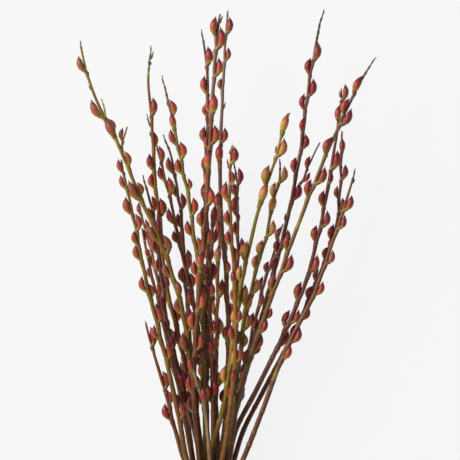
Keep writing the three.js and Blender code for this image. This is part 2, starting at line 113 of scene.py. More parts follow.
# Branches in rows from the lowest to the highest. Lengths are in millimetres, and a distance is measured
# down from the tip. What each word means:
# bark is the kind of bark. size and bud_size are shares of the full thickness and of the full bud size.
# taper is the power with which the stem thickens.
# path and twig, a side twig's path, are (x, y) seen from above, from the tip down. rests says that the tip
# lies on the table.
# first_bud is where the buds begin, and bare_below is how far above the tie those end that aren't given.
# buds and twig_buds are given buds: the foot's distance, the side in degrees (0 right, 90 up, 180 left) and
# the share of the full size.
# spurs are short withered side shoots: distance, side, length and whether the foot is still green.
# joints are where a year's growth began: distance, and how green the bark above it is.
# dry is the length of the withered tip, pale is how light it is and green_tip how green its lower end is.
# plain_tip is for a tip close beside another stem: it is even, has no bristles and leans away to the right
# by this length.
# warm, lime, red and grey are how far the bark leans to orange-brown, yellow-green, maroon and grey. red_to
# and grey_to are the distances where the last two end.
# tone runs from 0 for maroon buds to 1 for orange-red ones, or with amber from amber to yellow ones, and
# brown is how far they lean to brown.
BRANCH_ROWS = (
    (
        dict(name="left_mid_grey", bark="grey", size=0.9, bud_size=0.95, dry=18, tone=0.4,
             path=((-51.5, 376), (-42, 349), (-32.5, 288), (-28, 219), (-22, 145), (-16, 85), (-11, 50)),
             buds=((42, 180, 1.05), (66, 190, 0.8), (79, 0, 1.0), (97, 150, 0.9))),
        dict(name="centre_yellow", bark="golden", size=0.92, bud_size=1.05, first_bud=14, dry=3, amber=True,
             path=((2, 312), (5.5, 282), (4, 245), (3, 190), (2, 117), (4, 50))),
        dict(name="right_slim", bark="maroon", size=0.85, bud_size=0.85, dry=15, pale=0.0, tone=0.1,
             path=((20, 349), (23.5, 320), (24, 260), (22, 190), (17, 110), (12, 50)),
             buds=((25, 0, 1.05), (37, 180, 0.9), (56, 140, 1.25))),
    ),
    (
        dict(name="left_cluster", bark="grey", size=0.88, bud_size=0.85, first_bud=14, dry=6, tone=0.1,
             rests=True, path=((-76, 308), (-69, 278), (-60, 245), (-48, 185), (-37, 145), (-28, 100),
                               (-21, 50))),
        dict(name="left_second", bark="golden", size=1.0, bud_size=1.0, red=0.6, red_to=90, dry=34,
             green_tip=0.9, tone=0.35,
             path=((-63, 465), (-66, 431), (-63, 394), (-58.5, 324), (-53, 273), (-50, 234), (-39, 187),
                   (-24, 125), (-18, 85), (-13.5, 50)),
             buds=((72, 35, 1.1), (104, 340, 0.95), (127, 150, 1.05), (145, 180, 0.95), (174, 0, 1.15),
               (180, 90, 0.75)),
             spurs=((14, 0, 9, 0), (20, 0, 4, 0), (82, 180, 14, 0), (92, 180, 6, 0)),
             joints=((121, 0.4),)),
        dict(name="left_mid_brown", bark="brown", size=0.95, bud_size=0.95, dry=4, tone=0.45,
             path=((-58, 365), (-50.5, 337), (-42, 302), (-30, 247), (-18, 194), (-11, 125), (-6, 50)),
             buds=((19, 40, 1.0), (38, 180, 0.95), (53, 30, 1.1), (82, 180, 1.0), (102, 190, 0.85),
               (130, 0, 1.05)),
             spurs=((146, 180, 7, 0),), joints=((126, 0.1),), plain_tip=1.1),
        dict(name="right_dark", bark="maroon", size=0.86, bud_size=0.85, dry=4, tone=0.1,
             rests=True, path=((69, 286), (60.5, 258), (49, 220), (37, 170), (27, 120), (13, 50)),
             buds=((18, 175, 0.8), (46, 0, 1.0), (53, 180, 0.75), (72, 180, 0.9))),
    ),
    (
        dict(name="left_red", bark="maroon", size=1.0, bud_size=0.95, dry=15, tone=0.3,
             path=((-71.5, 335), (-65, 312), (-59, 286), (-53, 240), (-47, 185), (-32.5, 126), (-20, 80),
                   (-14, 50)),
             buds=((39, 20, 0.95), (47, 150, 0.8), (60, 30, 0.85), (66, 180, 0.85), (82, 170, 1.05)),
             joints=((211, 0),)),
        dict(name="centre_left", bark="maroon", size=1.0, bud_size=1.05, dry=17, tone=0.4,
             path=((-12.5, 480.5), (-8, 450), (-6, 420), (-6.5, 385), (-8.5, 325), (-6, 260), (-8, 180),
                   (-7, 50)),
             buds=((38, 35, 1.15), (66, 180, 1.1), (88, 190, 0.75), (99, 30, 0.8), (115, 180, 1.0),
               (144, 110, 1.0), (174, 100, 1.15)),
             spurs=((72, 180, 4, 0),), joints=((410, 0.2),)),
        dict(name="centre_right_tall", bark="grey", size=1.0, bud_size=0.95, red=0.6, grey=0.55,
             grey_to=120, dry=7, pale=0.6, tone=0.45,
             path=((14, 499.5), (11, 465), (9, 420), (6, 350), (8, 282), (12, 238), (14.5, 160),
                   (11.5, 90), (5.7, 50)),
             buds=((25, 30, 1.05), (52, 0, 0.85), (81, 180, 0.75), (134, 0, 0.95), (154, 100, 1.15),
               (202, 135, 1.15), (210, 185, 0.9)),
             spurs=((99, 0, 8, 0),)),
        dict(name="right_tall", bark="maroon", size=1.0, bud_size=0.95, dry=30, pale=0.0, tone=0.1,
             path=((110.5, 500.5), (105, 482), (94.5, 422), (88.5, 373), (79, 317), (65.5, 258), (51, 204),
                   (33.5, 142), (19.5, 90), (12.5, 50)),
             twig=((106, 367.5), (101.5, 359), (95, 344.5), (90, 332.5), (80.5, 318)),
             buds=((54, 50, 1.15), (68, 180, 1.0), (90, 0, 1.1), (104, 180, 1.0), (126, 120, 0.9),
               (143, 0, 0.95), (168, 180, 1.0), (195, 0, 1.1), (240, 10, 0.95), (250, 180, 0.9)),
             twig_buds=((30, 150, 0.8), (44, 30, 0.75)),
             spurs=((216, 180, 8, 0),), joints=((210, 0.35),)),
        dict(name="right_outer_brown", bark="maroon", size=0.95, bud_size=0.95, bare_below=165, dry=5,
             tone=0.3, path=((128, 379), (126.5, 326), (121, 277), (102.5, 227), (80.5, 178),
                             (49.5, 118.5), (30, 80), (20.5, 50)),
             buds=((23, 80, 0.9), (36, 180, 0.8), (50, 0, 0.95), (69, 180, 0.8), (83, 30, 0.95),
               (112, 180, 1.0), (120, 150, 0.8), (132, 180, 0.8), (156, 185, 0.85)),
             joints=((263, 0.3),)),
    ),
    (
        dict(name="left_thin", bark="brown", size=0.85, bud_size=0.85, first_bud=14, dry=5, tone=0.2,
             path=((-72, 282), (-67, 256), (-57, 213), (-46, 165), (-33, 110), (-22, 50))),
        dict(name="left_tall", bark="olive", size=1.0, bud_size=1.1, warm=0.15, lime=0.15,
             dry=8, pale=0.9, tone=0.7, brown=0.5,
             path=((-133.5, 468.5), (-129.5, 448), (-121, 419), (-110, 394), (-95, 364), (-73, 311),
                   (-54, 270), (-41, 233), (-29.5, 190), (-21.5, 125), (-17, 80), (-14, 50)),
             twig=((-86.5, 383), (-91, 366), (-90.5, 353)),
             buds=((33, 180, 1.05), (82, 175, 1.3), (99, 340, 0.9), (104, 90, 1.25), (136, 20, 0.95),
               (168, 0, 0.85), (172, 145, 1.35), (217, 165, 1.15), (233, 0, 1.25), (256, 185, 1.05)),
             twig_buds=((16, 180, 0.8),),
             spurs=((50, 170, 5, 0), (80, 0, 19, 1), (240, 10, 5, 0)),
             joints=((112, 0.9), (196, 0.6), (265, 0.2))),
        dict(name="left_mid_green", bark="green", size=0.98, bud_size=1.0, dry=27, pale=0.6, tone=0.6,
             path=((-52, 434), (-43, 397), (-35, 359), (-26, 315), (-21, 281), (-14, 228), (-10, 165),
                   (-9, 110), (-8, 50)),
             buds=((43, 20, 1.0), (57, 90, 1.05), (72, 170, 1.0), (87, 10, 1.05), (102, 180, 1.0),
               (119, 0, 0.75), (144, 0, 1.05), (165, 180, 1.0), (182, 0, 0.95), (206, 180, 1.0),
               (210, 0, 1.1)),
             spurs=((31, 180, 4, 0),), joints=((67, 0.5),)),
        dict(name="centre_dark", bark="maroon", size=0.98, bud_size=1.0, dry=4, tone=0.15,
             path=((0, 299), (-2, 275), (-3.5, 240), (-4, 200), (-1, 110), (-0.5, 50)),
             buds=((15, 80, 1.2),)),
        dict(name="right_green", bark="green", size=0.9, bud_size=0.95, lime=0.4, dry=11, pale=0.1,
             amber=True,
             path=((66, 351), (65, 330), (57, 298), (51.5, 271), (39.5, 229), (29, 186), (24, 138),
                   (13, 86), (7, 50)),
             twig=((40, 216), (36.5, 207), (32.5, 193), (28, 174)),
             buds=((25, 0, 1.05), (41, 170, 0.95), (56, 95, 1.1), (80, 0, 1.05), (101, 150, 1.0),
               (115, 175, 0.95), (140, 0, 1.0), (154, 180, 1.0), (158, 80, 1.1), (178, 0, 1.1)),
             joints=((184, 0.7), (272, 0.9))),
        dict(name="right_red", bark="brown", size=0.98, bud_size=1.05, bare_below=150, red=0.85, dry=3,
             pale=0.8, tone=0.3,
             path=((127, 421), (126, 398), (116.5, 340), (107.5, 289), (92, 229), (73.5, 184), (43.5, 122),
                   (22, 80), (16, 50)),
             buds=((13, 10, 1.0), (34, 125, 1.0), (83, 20, 1.2), (98, 70, 0.8), (121, 180, 1.0),
               (142, 0, 1.1), (157, 180, 1.0), (188, 30, 1.15), (219, 180, 1.15), (243, 10, 1.0),
               (249, 180, 1.1)),
             spurs=((9, 150, 7, 0),), joints=((280, 0),)),
    ),
    (
        dict(name="left_low", bark="brown", size=0.92, bud_size=0.95, dry=4, pale=0.9, tone=0.15,
             path=((-68.5, 188.5), (-62, 163), (-51, 126), (-37.5, 75), (-30, 50)),
             buds=((27, 0, 1.15), (72, 0, 1.1), (88, 10, 0.85), (104, 180, 1.1))),
        dict(name="centre_tall", bark="brown", size=1.0, bud_size=1.15, taper=0.3, grey=0.55,
             grey_to=110, dry=5, tone=0.8,
             path=((6, 494.5), (2, 462), (-2, 400), (-6, 325), (-12.5, 245), (-18.5, 170), (-20, 120),
                   (-15, 54)),
             buds=((24, 155, 1.2), (37, 10, 1.35), (64, 350, 1.15), (100, 190, 0.85), (102, 75, 1.3),
               (132, 0, 1.2), (136, 200, 0.8)),
             spurs=((9, 0, 8, 0),), joints=((141, 0.1), (258, 0.1), (298, 0))),
        dict(name="yellow_tall", bark="olive", size=0.98, bud_size=1.15, lime=0.55, dry=3, amber=True,
             path=((75, 396.5), (68, 376), (59, 344), (45, 302), (37, 270), (26.5, 220), (19, 170),
                   (12, 115), (0.5, 71), (-4, 50)),
             buds=((23, 100, 1.25), (47, 0, 1.2), (77, 165, 1.2), (96, 95, 1.3), (156, 150, 1.2),
               (177, 180, 1.0)),
             spurs=((19, 0, 6, 0), (42, 180, 7, 0), (100, 180, 5, 0)),
             joints=((39, 0.9), (94, 0.6), (320, 0.5))),
        dict(name="right_olive", bark="olive", size=1.0, bud_size=1.1, bare_below=150, warm=0.6, red=0.8,
             red_to=85, dry=20, pale=0.6, tone=0.3,
             path=((161, 451.5), (152.5, 439), (142, 420), (120.5, 375), (101.5, 330), (82, 280),
                   (60.5, 221), (40, 165), (23, 108), (15, 50)),
             buds=((43, 115, 1.15), (66, 165, 1.0), (78, 10, 1.2), (110, 135, 1.1), (142, 0, 1.2),
               (156, 175, 1.05), (214, 175, 1.05), (236, 0, 1.2), (258, 180, 1.1), (286, 340, 0.8),
               (301, 5, 1.0)),
             joints=((189, 0.9),)),
        dict(name="right_low", bark="brown", size=0.98, bud_size=1.0, bare_below=150, warm=0.3, dry=16,
             pale=0.1, tone=0.5,
             path=((141, 341), (134, 316.5), (119, 270), (98, 212), (70.5, 158), (48, 98), (29, 50)),
             buds=((45, 0, 1.05), (64, 10, 0.95), (101, 0, 0.95), (134, 0, 0.95), (188, 350, 1.1)),
             spurs=((15, 0, 5, 0),), joints=((228, 0.7), (298, 0))),
    ),
    (
        dict(name="left_outer", bark="olive", size=0.98, bud_size=1.0, warm=0.4, dry=4, tone=0.7,
             path=((-92, 350), (-89.5, 337), (-78.5, 286), (-66, 223), (-56, 184), (-45, 139),
                   (-34.5, 89), (-27, 50)),
             buds=((14, 150, 0.85), (31, 185, 0.9), (57, 180, 1.1), (74, 0, 1.0), (88, 150, 0.9),
               (104, 185, 1.0), (137, 180, 1.05), (143, 330, 0.85), (170, 0, 1.0), (186, 180, 0.95),
               (208, 0, 0.95), (270, 0, 1.1))),
        dict(name="front_tan", bark="tan", size=0.96, bud_size=1.1, first_bud=13, grey=0.5, dry=3, tone=0.5,
             path=((-21.5, 151), (-16.5, 126), (-10, 107), (-6, 75), (-4, 50)),
             spurs=((29, 180, 6, 0),), joints=((27, 0.1), (46, 0.3))),
        dict(name="right_brown", bark="golden", size=0.94, bud_size=0.95, dry=3, tone=0.5,
             path=((18, 364), (15.5, 330), (18, 270), (21, 215), (21, 150), (14, 85), (8, 50)),
             buds=((20, 0, 1.1), (40, 0, 0.8), (58, 180, 1.25), (82, 180, 1.0)),
             spurs=((9, 180, 5, 0), (23, 180, 10, 0))),
    ),
)

# Chance: the two numbers' factors and the factor of their sine, and which draw decides what
CHANCE_FACTORS = (12.9898, 78.233)
CHANCE_GROWTH = 43758.5453
PLUMP_DRAW, HOOK_DRAW, LEAN_DRAW, TONE_DRAW, FRESH_DRAW, BROWN_DRAW = range(3, 9)
NODE_DRAWS = 200
BRISTLE_PLACE_DRAWS = 300
BRISTLE_TURN_DRAWS = 320
BRISTLE_LENGTH_DRAWS = 340
TWIG_SEED = 31

# Form of a bud's smooth scale: where on the bud it starts, and its width at heights from base to tip
BUD_START = 0.17
BUD_PROFILE = ((0, 0.5), (0.15, 0.84), (0.38, 1.0), (0.61, 0.93), (0.79, 0.58), (0.91, 0.18), (1, 0.07))
BUD_STRAIGHTER = 0.15
BUD_PLUMPNESS = (0.92, 1.06)
BUD_HOOK_VARIATION = (-0.2, 0.25)
BUD_LEAN = (-0.5, 0.5)
BUD_INNER_SHARE = 0.78
BUD_OUTER_SHARE = 1.02

# Looks of the buds: the share that is fresh, how green fresh and old ones are at the base, and how tone
# and brown vary
FRESH_SHARE = 0.36
CRESCENT_GREENS = (1.0, 0.15)
CRESCENT_REACH = 0.4
CUSHION_GREENS = (0.9, 0.25)
BUD_TONE_VARIATION = (-0.3, 0.3)
BROWN_FROM = 0.8
BROWN_GROWTH = 2
MOST_BROWN = 0.8
# Painted shade: the direction, right and down, of the side of stems and buds that is painted darker as the
# shade that the light would give, and the factor by which that share grows with the direction
PAINTED_SHADE_SIDE = (0.85, -0.1, -0.5)
PAINTED_SHADE_SOFTNESS = 0.6

# Bark foot of a bud: the stretch of the bud's length that it covers, how it widens over a share of it, its
# radius at the lower end, its last ring's share, how many millimetres it sinks in, and its looks
CUSHION_FROM = -0.3
CUSHION_TO = 0.34
CUSHION_GROWTH = 0.54
CUSHION_POWER = 0.9
CUSHION_POINT = 0.2 * MM
CUSHION_TOP_SHARE = 0.6
CUSHION_SINK = 0.25
CUSHION_SCAR = 0.15
CUSHION_AGE = 0.6

# A round stem's radius as a share of a six-sided one's with the same average thickness
ROUND_SHARE = 0.95
# How far above the tie the stems run too close together to swell or bend, and over which length that ends
CLOSE_REACH = 48 * MM
CLOSE_FADE = 15 * MM
# Nodes: how far below a bud's foot the swelling and the scar are centred, and how far these and the bend
# towards the bud reach
NODE_DROP = 1.5 * MM
NODE_REACH = 3.5 * MM
SCAR_DROP = 2.6 * MM
SCAR_REACH = 0.5 * MM
BEND_REACH = 6 * MM
# Nodes without buds, with the swelling as a share of a bud's node and the spacing as shares of the buds',
# and the joints where a year's growth began, with the length in millimetres that is green above them
BARE_NODE_SHARE = 0.5
BARE_NODE_REACH = 1.2 * MM
BARE_SCAR_REACH = 0.55 * MM
BARE_NODE_SPACING = (0.8, 1.9)
JOINT_SHARE = 0.7
JOINT_REACH = 1.5 * MM
JOINT_SCAR = 1.4
JOINT_SCAR_REACH = 0.7 * MM
JOINT_GREEN_LENGTH = 6
# Slow wavers of a stem's thickness: share, length and how often the seed shifts it
STEM_WAVERS = ((0.03, 7 * MM, 1), (0.02, 2.3 * MM, 2))
# A leaning of the bark's colour fades over this length where it ends, and the others end past any stem,
# at this distance in millimetres
LEANING_FADE = 20 * MM
LEANING_WITHOUT_END = 1000
# How far apart two stems lie on their pattern, in millimetres
PATTERN_SHIFT = 137

# Withered tips: how far the bark reaches up inside them, and how far it stays from their ends at least, both
# in millimetres
TIP_OVERLAP = 1.5
TIP_BARK_FREE = 1
TIP_END_RADIUS = 0.5 * MM
TIP_NARROWING = 0.45 * MM
TIP_POWER = 0.8
TIP_KNOBS = ((0.2, 1.1 * MM, 1), (0.12, 0.45 * MM, 0))
TIP_CROOK = 0.35 * MM
TIP_CROOK_LENGTH = 2.6 * MM
TIP_PALENESS = 0.35
TIP_GREEN_FROM = 0.6
TIP_GREEN_GROWTH = 4
FEWEST_BRISTLES = 2
BRISTLE_SPACING = 6 * MM
BRISTLE_PLACES = (0.1, 0.9)
BRISTLE_LENGTHS = (0.5, 1.3)
BRISTLE_RADIUS = 0.22 * MM
BRISTLE_THINNING = 0.8
BRISTLE_SLANT = 1.1
BRISTLE_BEND = 0.3
BRISTLE_PATTERN_RADIUS = 0.2 * MM
# Short withered side shoots: where they begin as a share of the stem's radius, how they spread and rise as
# shares of their length, their knobs and thickness, and how the green of the foot ends
SPUR_FOOT = 0.6
SPUR_SPREAD = 0.42
SPUR_RETURN = 0.2
SPUR_RISE = 0.95
SPUR_KNOB_SHARE = 0.18
SPUR_KNOB_LENGTH = 0.9 * MM
SPUR_RADIUS = 0.95 * MM
SPUR_POWER = 0.8
SPUR_END_RADIUS = 0.32 * MM
SPUR_GREEN = (1.3, 1.6)

# Cut ends: share of the rim's radius and height over the cut in millimetres, from the middle outwards
CUT_DOME = ((0.02, 0.22), (0.2, 0.21), (0.4, 0.2), (0.6, 0.18), (0.8, 0.14), (0.92, 0.08), (1.0, 0.0),
            (0.9, -0.35))
CUT_RIM_SHARE = 0.97

# Twine: a ply's radius, its twist's length and the step between its rings in the twine's radii, a direction
# that no stretch of it follows, and the knot
PLY_SHARE = 0.54
TWIST_LENGTH = 7.5
TWINE_STEP = 0.45
TWINE_SIDE = (0.13, 0.97, 0.21)
TWINE_TABLE_GAP = 0.02 * MM
KNOT_TWINE_SHARE = 0.85
KNOT_REACH = (3.0, 3.0, 1.0)
# Where a loose end leaves the knot and how far it runs, across and along the stems and up, in millimetres
KNOT_END_FROM = (2, 1, 2.4)
KNOT_END_RUN = (9, 2.5)
KNOT_END_RISE = 1.2
KNOT_END_BEND = 2.4
KNOT_END_DROP = 2.6
WINDING_SEED, KNOT_SEED, KNOT_END_SEED = 1, 5, 8

# Fineness of the finished surfaces
STEM_RING_STEP = 1.3 * MM
STEM_AROUND = 16
BUD_AROUND = 8
CUSHION_RINGS = 5
CUSHION_AROUND = 8
TIP_RING_STEP = 0.8 * MM
SPUR_RING_STEP = 0.9 * MM
FEWEST_RINGS = 6
TIP_AROUND = 8
BRISTLE_RINGS = 4
BRISTLE_AROUND = 5
CUT_AROUND = 24
TWINE_AROUND = 8
TIE_OUTLINE_POINTS = 120
KNOT_POINTS = 90
KNOT_END_POINTS = 20

# Stage: table, key light and camera, in metres, with the sensor's width in millimetres
TABLE_HALF_WIDTH = 4.0
TABLE_LEVEL = -0.1 * MM
KEY_SIZE = 1.6
KEY_PLACE = (-1.75, 1.15, 1.55)
KEY_AIM = (0.0, 0.25, 0.03)
CAMERA_X = 0.016
CAMERA_Y = 0.280
CAMERA_FOCUS_HEIGHT = 0.045
SENSOR_WIDTH = 36
CAMERA_CLIP_END = 50


def chance(i, j):
    """A steady stand-in for chance: the fraction left by a large multiple of a sine of both numbers."""
    value = math.sin(i * CHANCE_FACTORS[0] + j * CHANCE_FACTORS[1]) * CHANCE_GROWTH
    return value - math.floor(value)


def between(limits, i, j):
    """A value between two limits, picked by chance."""
    return limits[0] + (limits[1] - limits[0]) * chance(i, j)


def row_height(row, y):
    """Height of a row's stems: level in the neck, then rising apart with a power of the distance."""
    fan = (max(0.0, (y - NECK_HALF_LENGTH) / (FAN_LENGTH - NECK_HALF_LENGTH))) ** FAN_POWER
    return BOTTOM_ROW_Z + BOTTOM_ROW_RISE * fan + row * (ROW_HEIGHT + ROW_SPREAD * fan)


def smooth_curve(points, steps):
    """Even Catmull-Rom curve: on each span a cubic through its ends, with slopes from the neighbours."""
    p = np.asarray(points, float)
    p = np.vstack([2 * p[0] - p[1], p, 2 * p[-1] - p[-2]])
    t = np.linspace(0, len(points) - 1, steps + 1)
    i = np.minimum(t.astype(int), len(points) - 2)
    t = (t - i)[:, None]
    a, b, c, d = p[i], p[i + 1], p[i + 2], p[i + 3]
    slope_b, slope_c = 0.5 * (c - a), 0.5 * (d - b)
    return ((2 * b - 2 * c + slope_b + slope_c) * t ** 3
            + (3 * c - 3 * b - 2 * slope_b - slope_c) * t ** 2 + slope_b * t + b)


def unit(vectors):
    """Vectors of length one along the last axis."""
    return vectors / np.linalg.norm(vectors, axis=-1, keepdims=True)


class Stem:
    """A centre line traced from the tip down, with its length and its thickness along the way."""

    def __init__(self, points, base_radius, even_length, taper=TAPER_POWER):
        self.trace = smooth_curve(points, TRACE_STEPS)
        steps = np.linalg.norm(np.diff(self.trace, axis=0), axis=1)
        self.along = np.concatenate([[0], np.cumsum(steps)])
        self.length = self.along[-1]
        self.base_radius = base_radius
        self.even_length = even_length
        self.taper = taper

    def radius(self, distance):
        """Thickness grows with a power of the distance from the tip, and stays even near the cut end."""
        grown = np.minimum(1, distance / (self.length - self.even_length)) ** self.taper
        return TIP_RADIUS + (self.base_radius - TIP_RADIUS) * grown

    def at(self, distance):
        """Point, direction to the tip, the two directions across and the radius, for an array or a number."""
        i = np.clip(np.searchsorted(self.along, distance), 1, TRACE_STEPS)
        before, after = self.trace[i - 1], self.trace[i]
        share = (distance - self.along[i - 1]) / (self.along[i] - self.along[i - 1])
        point = before + (after - before) * np.asarray(share)[..., None]
        forward = unit(before - after)
        side = unit(np.cross(forward, (0, 0, 1)))
        return point, forward, side, np.cross(side, forward), self.radius(distance)


class Bud:
    """A bud's place on its stem: its foot, the direction it points in and the side it stands on."""

    def __init__(self, stem, distance, angle, scale, number):
        self.point, self.forward, side, up, self.radius = stem.at(distance)
        self.stem_length = stem.length
        self.radial = side * math.cos(angle) + up * math.sin(angle)
        self.sideways = np.cross(self.forward, self.radial)
        self.distance, self.scale, self.number = distance, scale, number
        self.is_fresh = chance(number, FRESH_DRAW) < FRESH_SHARE
        self.length = BUD_LENGTH * scale

    def middle(self, share, hook=BUD_HOOK):
        """Middle line: it leaves the stem, lies alongside it and hooks back, by squares of the share."""
        share = np.asarray(share, float)
        alongside = self.radius + BUD_SEAT + BUD_RADIUS * BUD_FLAT * self.scale
        leaving = 1 - np.maximum(0, 1 - share / BUD_FULL_OUT) ** 2
        back = hook * np.maximum(0, (share - BUD_FULL_OUT) / (1 - BUD_FULL_OUT)) ** 2
        return (self.point + self.forward * (share * self.length)[..., None]
                + self.radial * (alongside * (leaving - back))[..., None])

    def balls(self):
        """Balls that stand for the bud when clearances are measured."""
        return self.middle(BUD_BALLS[:, 0]), BUD_RADIUS * self.scale * BUD_BALLS[:, 1]


def stem_balls(stem):
    """Balls that stand for a stem when clearances are measured."""
    distances = np.arange(0, stem.length + 1e-9, BALL_STEP)
    return stem.at(distances)[0], stem.radius(distances)


def touches(balls, obstacles):
    """Whether any ball reaches the table or any other ball."""
    points, radii = balls
    if np.any(points[:, 2] - radii < CLEARANCE):
        return True
    gaps = np.linalg.norm(points[:, None] - obstacles[0][None], axis=2)
    return bool(np.any(gaps < radii[:, None] + obstacles[1][None] + CLEARANCE))


def join_balls(sets):
    """Several sets of balls as one."""
    return np.vstack([points for points, _ in sets]), np.concatenate([radii for _, radii in sets])


def place_buds(stem, given, first_bud, lowest_y, size, index, obstacles):
    """Buds down a stem: the given ones first, and the rest below them in a spiral. Each turns round the
    stem until it is clear of everything else."""
    buds, distance, count = [], first_bud, 0
    while distance < stem.length:
        scale = (size * between(BUD_SIZE_VARIATION, index, count + SIZE_DRAWS)
                 * min(1, TOP_BUD_SIZE + TOP_BUD_SIZE_STEP * count))
        start = chance(index, 2) * 2 * math.pi + count * BUD_TURN
        if count < len(given):
            distance, start, scale = given[count][0] * MM, math.radians(given[count][1]), given[count][2]
        elif stem.at(distance)[0][1] < lowest_y:
            break
        for attempt in range(BUD_TURN_TRIES):
            turn = math.ceil(attempt / 2) * (1 if attempt % 2 else -1) * BUD_TURN_STEP
            bud = Bud(stem, distance, start + turn, scale, index * 100 + count)
            balls = bud.balls()
            if not touches(balls, obstacles):
                buds.append(bud)
                obstacles = join_balls([obstacles, balls])
                break
        growth = 1 + BUD_SPACING_GROWTH * distance / FAN_LENGTH
        distance += BUD_SPACING * growth * between(
            BUD_SPACING_VARIATION, index, count + SPACING_DRAWS)
        count += 1
    return buds


def stem_points(branch, row, neck_x, index):
    """Path of a branch through its place in the neck, down to its cut end."""
    path = np.array(branch["path"]) * MM
    tip_y = path[0, 1]
    drop = 0
    if branch.get("rests"):
        drop = row_height(row, tip_y) - TIP_RADIUS * math.cos(math.pi / STEM_SIDES)
    points = [(x, y, row_height(row, y) - drop * (y / tip_y) ** DROOP_POWER) for x, y in path]
    neck_z = row_height(row, 0)
    middle_z = BOTTOM_ROW_Z + ROW_HEIGHT * (ROWS - 1) / 2
    approach_x = neck_x + APPROACH_SHARE * (path[-1, 0] - neck_x)
    end_y = -between((END_LENGTH - END_LENGTH_SPREAD, END_LENGTH + END_LENGTH_SPREAD), index, 1)
    points += [(approach_x, APPROACH_Y, row_height(row, APPROACH_Y)),
               (neck_x, NECK_HALF_LENGTH, neck_z), (neck_x, -NECK_HALF_LENGTH, neck_z),
               (neck_x * END_WIDENING, end_y, middle_z + (neck_z - middle_z) * END_WIDENING)]
    return points


@cache
def grown_bunch():
    """Every branch with its stem, twig, buds and place in the neck, grown by one rule."""
    branches = []
    for row, members in enumerate(BRANCH_ROWS):
        arriving = sorted(members, key=lambda branch: branch["path"][-1][0])
        for place, branch in enumerate(arriving):
            neck_x = (place - (len(arriving) - 1) / 2) * STEM_PITCH + ROW_SHIFTS[row]
            points = stem_points(branch, row, neck_x, len(branches))
            stem = Stem(points, STEM_RADIUS * branch["size"], END_LENGTH, branch.get("taper", TAPER_POWER))
            twig = None
            if "twig" in branch:
                path = np.array(branch["twig"]) * MM
                twig = Stem([(x, y, row_height(row, y)) for x, y in path], TWIG_RADIUS, 0)
            branches.append(dict(branch, index=len(branches), row=row, neck_x=neck_x, stem=stem,
                                 twig_stem=twig))
    stem_sets = [join_balls([stem_balls(s) for s in (b["stem"], b["twig_stem"]) if s]) for b in branches]
    bud_sets = []
    for branch in branches:
        others = [balls for i, balls in enumerate(stem_sets) if i != branch["index"]]
        obstacles = join_balls(others + bud_sets)
        size, index = branch["bud_size"], branch["index"]
        buds = place_buds(branch["stem"], branch.get("buds", ()), branch.get("first_bud", 0) * MM,
                          branch.get("bare_below", LOWEST_BUD_Y / MM) * MM, size, index, obstacles)
        branch["stem_buds"], branch["side_buds"] = buds, []
        bud_sets += [bud.balls() for bud in buds]
        twig = branch["twig_stem"]
        if twig:
            obstacles = join_balls(others + bud_sets)
            lowest = twig.at(twig.length * TWIG_BUD_SHARE)[0][1]
            branch["side_buds"] = place_buds(twig, branch.get("twig_buds", ()), TWIG_FIRST_BUD, lowest,
                                             size * TWIG_BUD_SIZE, index + len(branches), obstacles)
            bud_sets += [bud.balls() for bud in branch["side_buds"]]
    return branches


class Surfaces:
    """Closed tube-like grids gathered into one mesh, with values kept at each point."""

    def __init__(self, *names):
        self.names = names
        self.points, self.faces, self.values = [], [], {name: [] for name in names}
        self.count = 0

    def add(self, grid, **values):
        """Adds rings of points, closed round each ring and by a middle point past both end rings."""
        rings, around = grid.shape[:2]
        poles = grid[[0, -1]].mean(axis=1)
        self.points += [grid.reshape(-1, 3), poles]
        first = self.count
        ring, place = np.meshgrid(np.arange(rings - 1), np.arange(around), indexing="ij")
        after = (place + 1) % around
        quads = np.stack([ring * around + place, ring * around + after,
                          (ring + 1) * around + after, (ring + 1) * around + place], axis=-1)
        self.faces += (quads.reshape(-1, 4) + first).tolist()
        start_pole, end_pole = rings * around, rings * around + 1
        here = np.arange(around)
        following = (here + 1) % around
        last = (rings - 1) * around
        start = np.stack([following, here, np.full(around, start_pole)], axis=-1)
        end = np.stack([last + here, last + following, np.full(around, end_pole)], axis=-1)
        self.faces += (start + first).tolist() + (end + first).tolist()
        for name in self.names:
            value = np.broadcast_to(values[name], grid.shape if name == "surface" else (rings, around))
            flat = value.reshape(rings * around, -1)
            ends = np.stack([value[0].reshape(around, -1).mean(axis=0),
                             value[-1].reshape(around, -1).mean(axis=0)])
            self.values[name].append(np.vstack([flat, ends]))
        self.count += rings * around + 2

    def piece(self, name, material, slot):
        """Makes the mesh and its object, riding on the bunch."""
        mesh = bpy.data.meshes.new(name)
        mesh.from_pydata(np.vstack(self.points), [], self.faces)
        for value_name, parts in self.values.items():
            kind = "FLOAT_VECTOR" if value_name == "surface" else "FLOAT"
            attribute = mesh.attributes.new(value_name, kind, "POINT")
            field = "vector" if kind == "FLOAT_VECTOR" else "value"
            attribute.data.foreach_set(field, np.vstack(parts).ravel().astype(np.float32))
        mesh.polygons.foreach_set("use_smooth", np.ones(len(mesh.polygons), bool))
        mesh.materials.append(material)
        mesh.validate()
        piece = bpy.data.objects.new(name, mesh)
        bpy.context.scene.collection.objects.link(piece)
        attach(piece, BODY)
        return piece


def tube(centres, side, up, radius, around):
    """Rings round a path: each point is its centre plus the radius along the two directions across. The
    directions and the radius are given for each centre, or once where they stay the same."""
    side, up = np.broadcast_to(side, centres.shape), np.broadcast_to(up, centres.shape)
    radius = np.broadcast_to(np.reshape(radius, (-1, 1)), (len(centres), around))[..., None]
    angle = np.linspace(0, 2 * math.pi, around, endpoint=False)
    across = side[:, None] * np.cos(angle)[None, :, None] + up[:, None] * np.sin(angle)[None, :, None]
    return centres[:, None] + across * radius, angle


def bump(distance, centre, width):
    """A smooth bell round a centre: the exponential of minus the square of the distance over the width."""
    return np.exp(-((distance - centre) / width) ** 2)


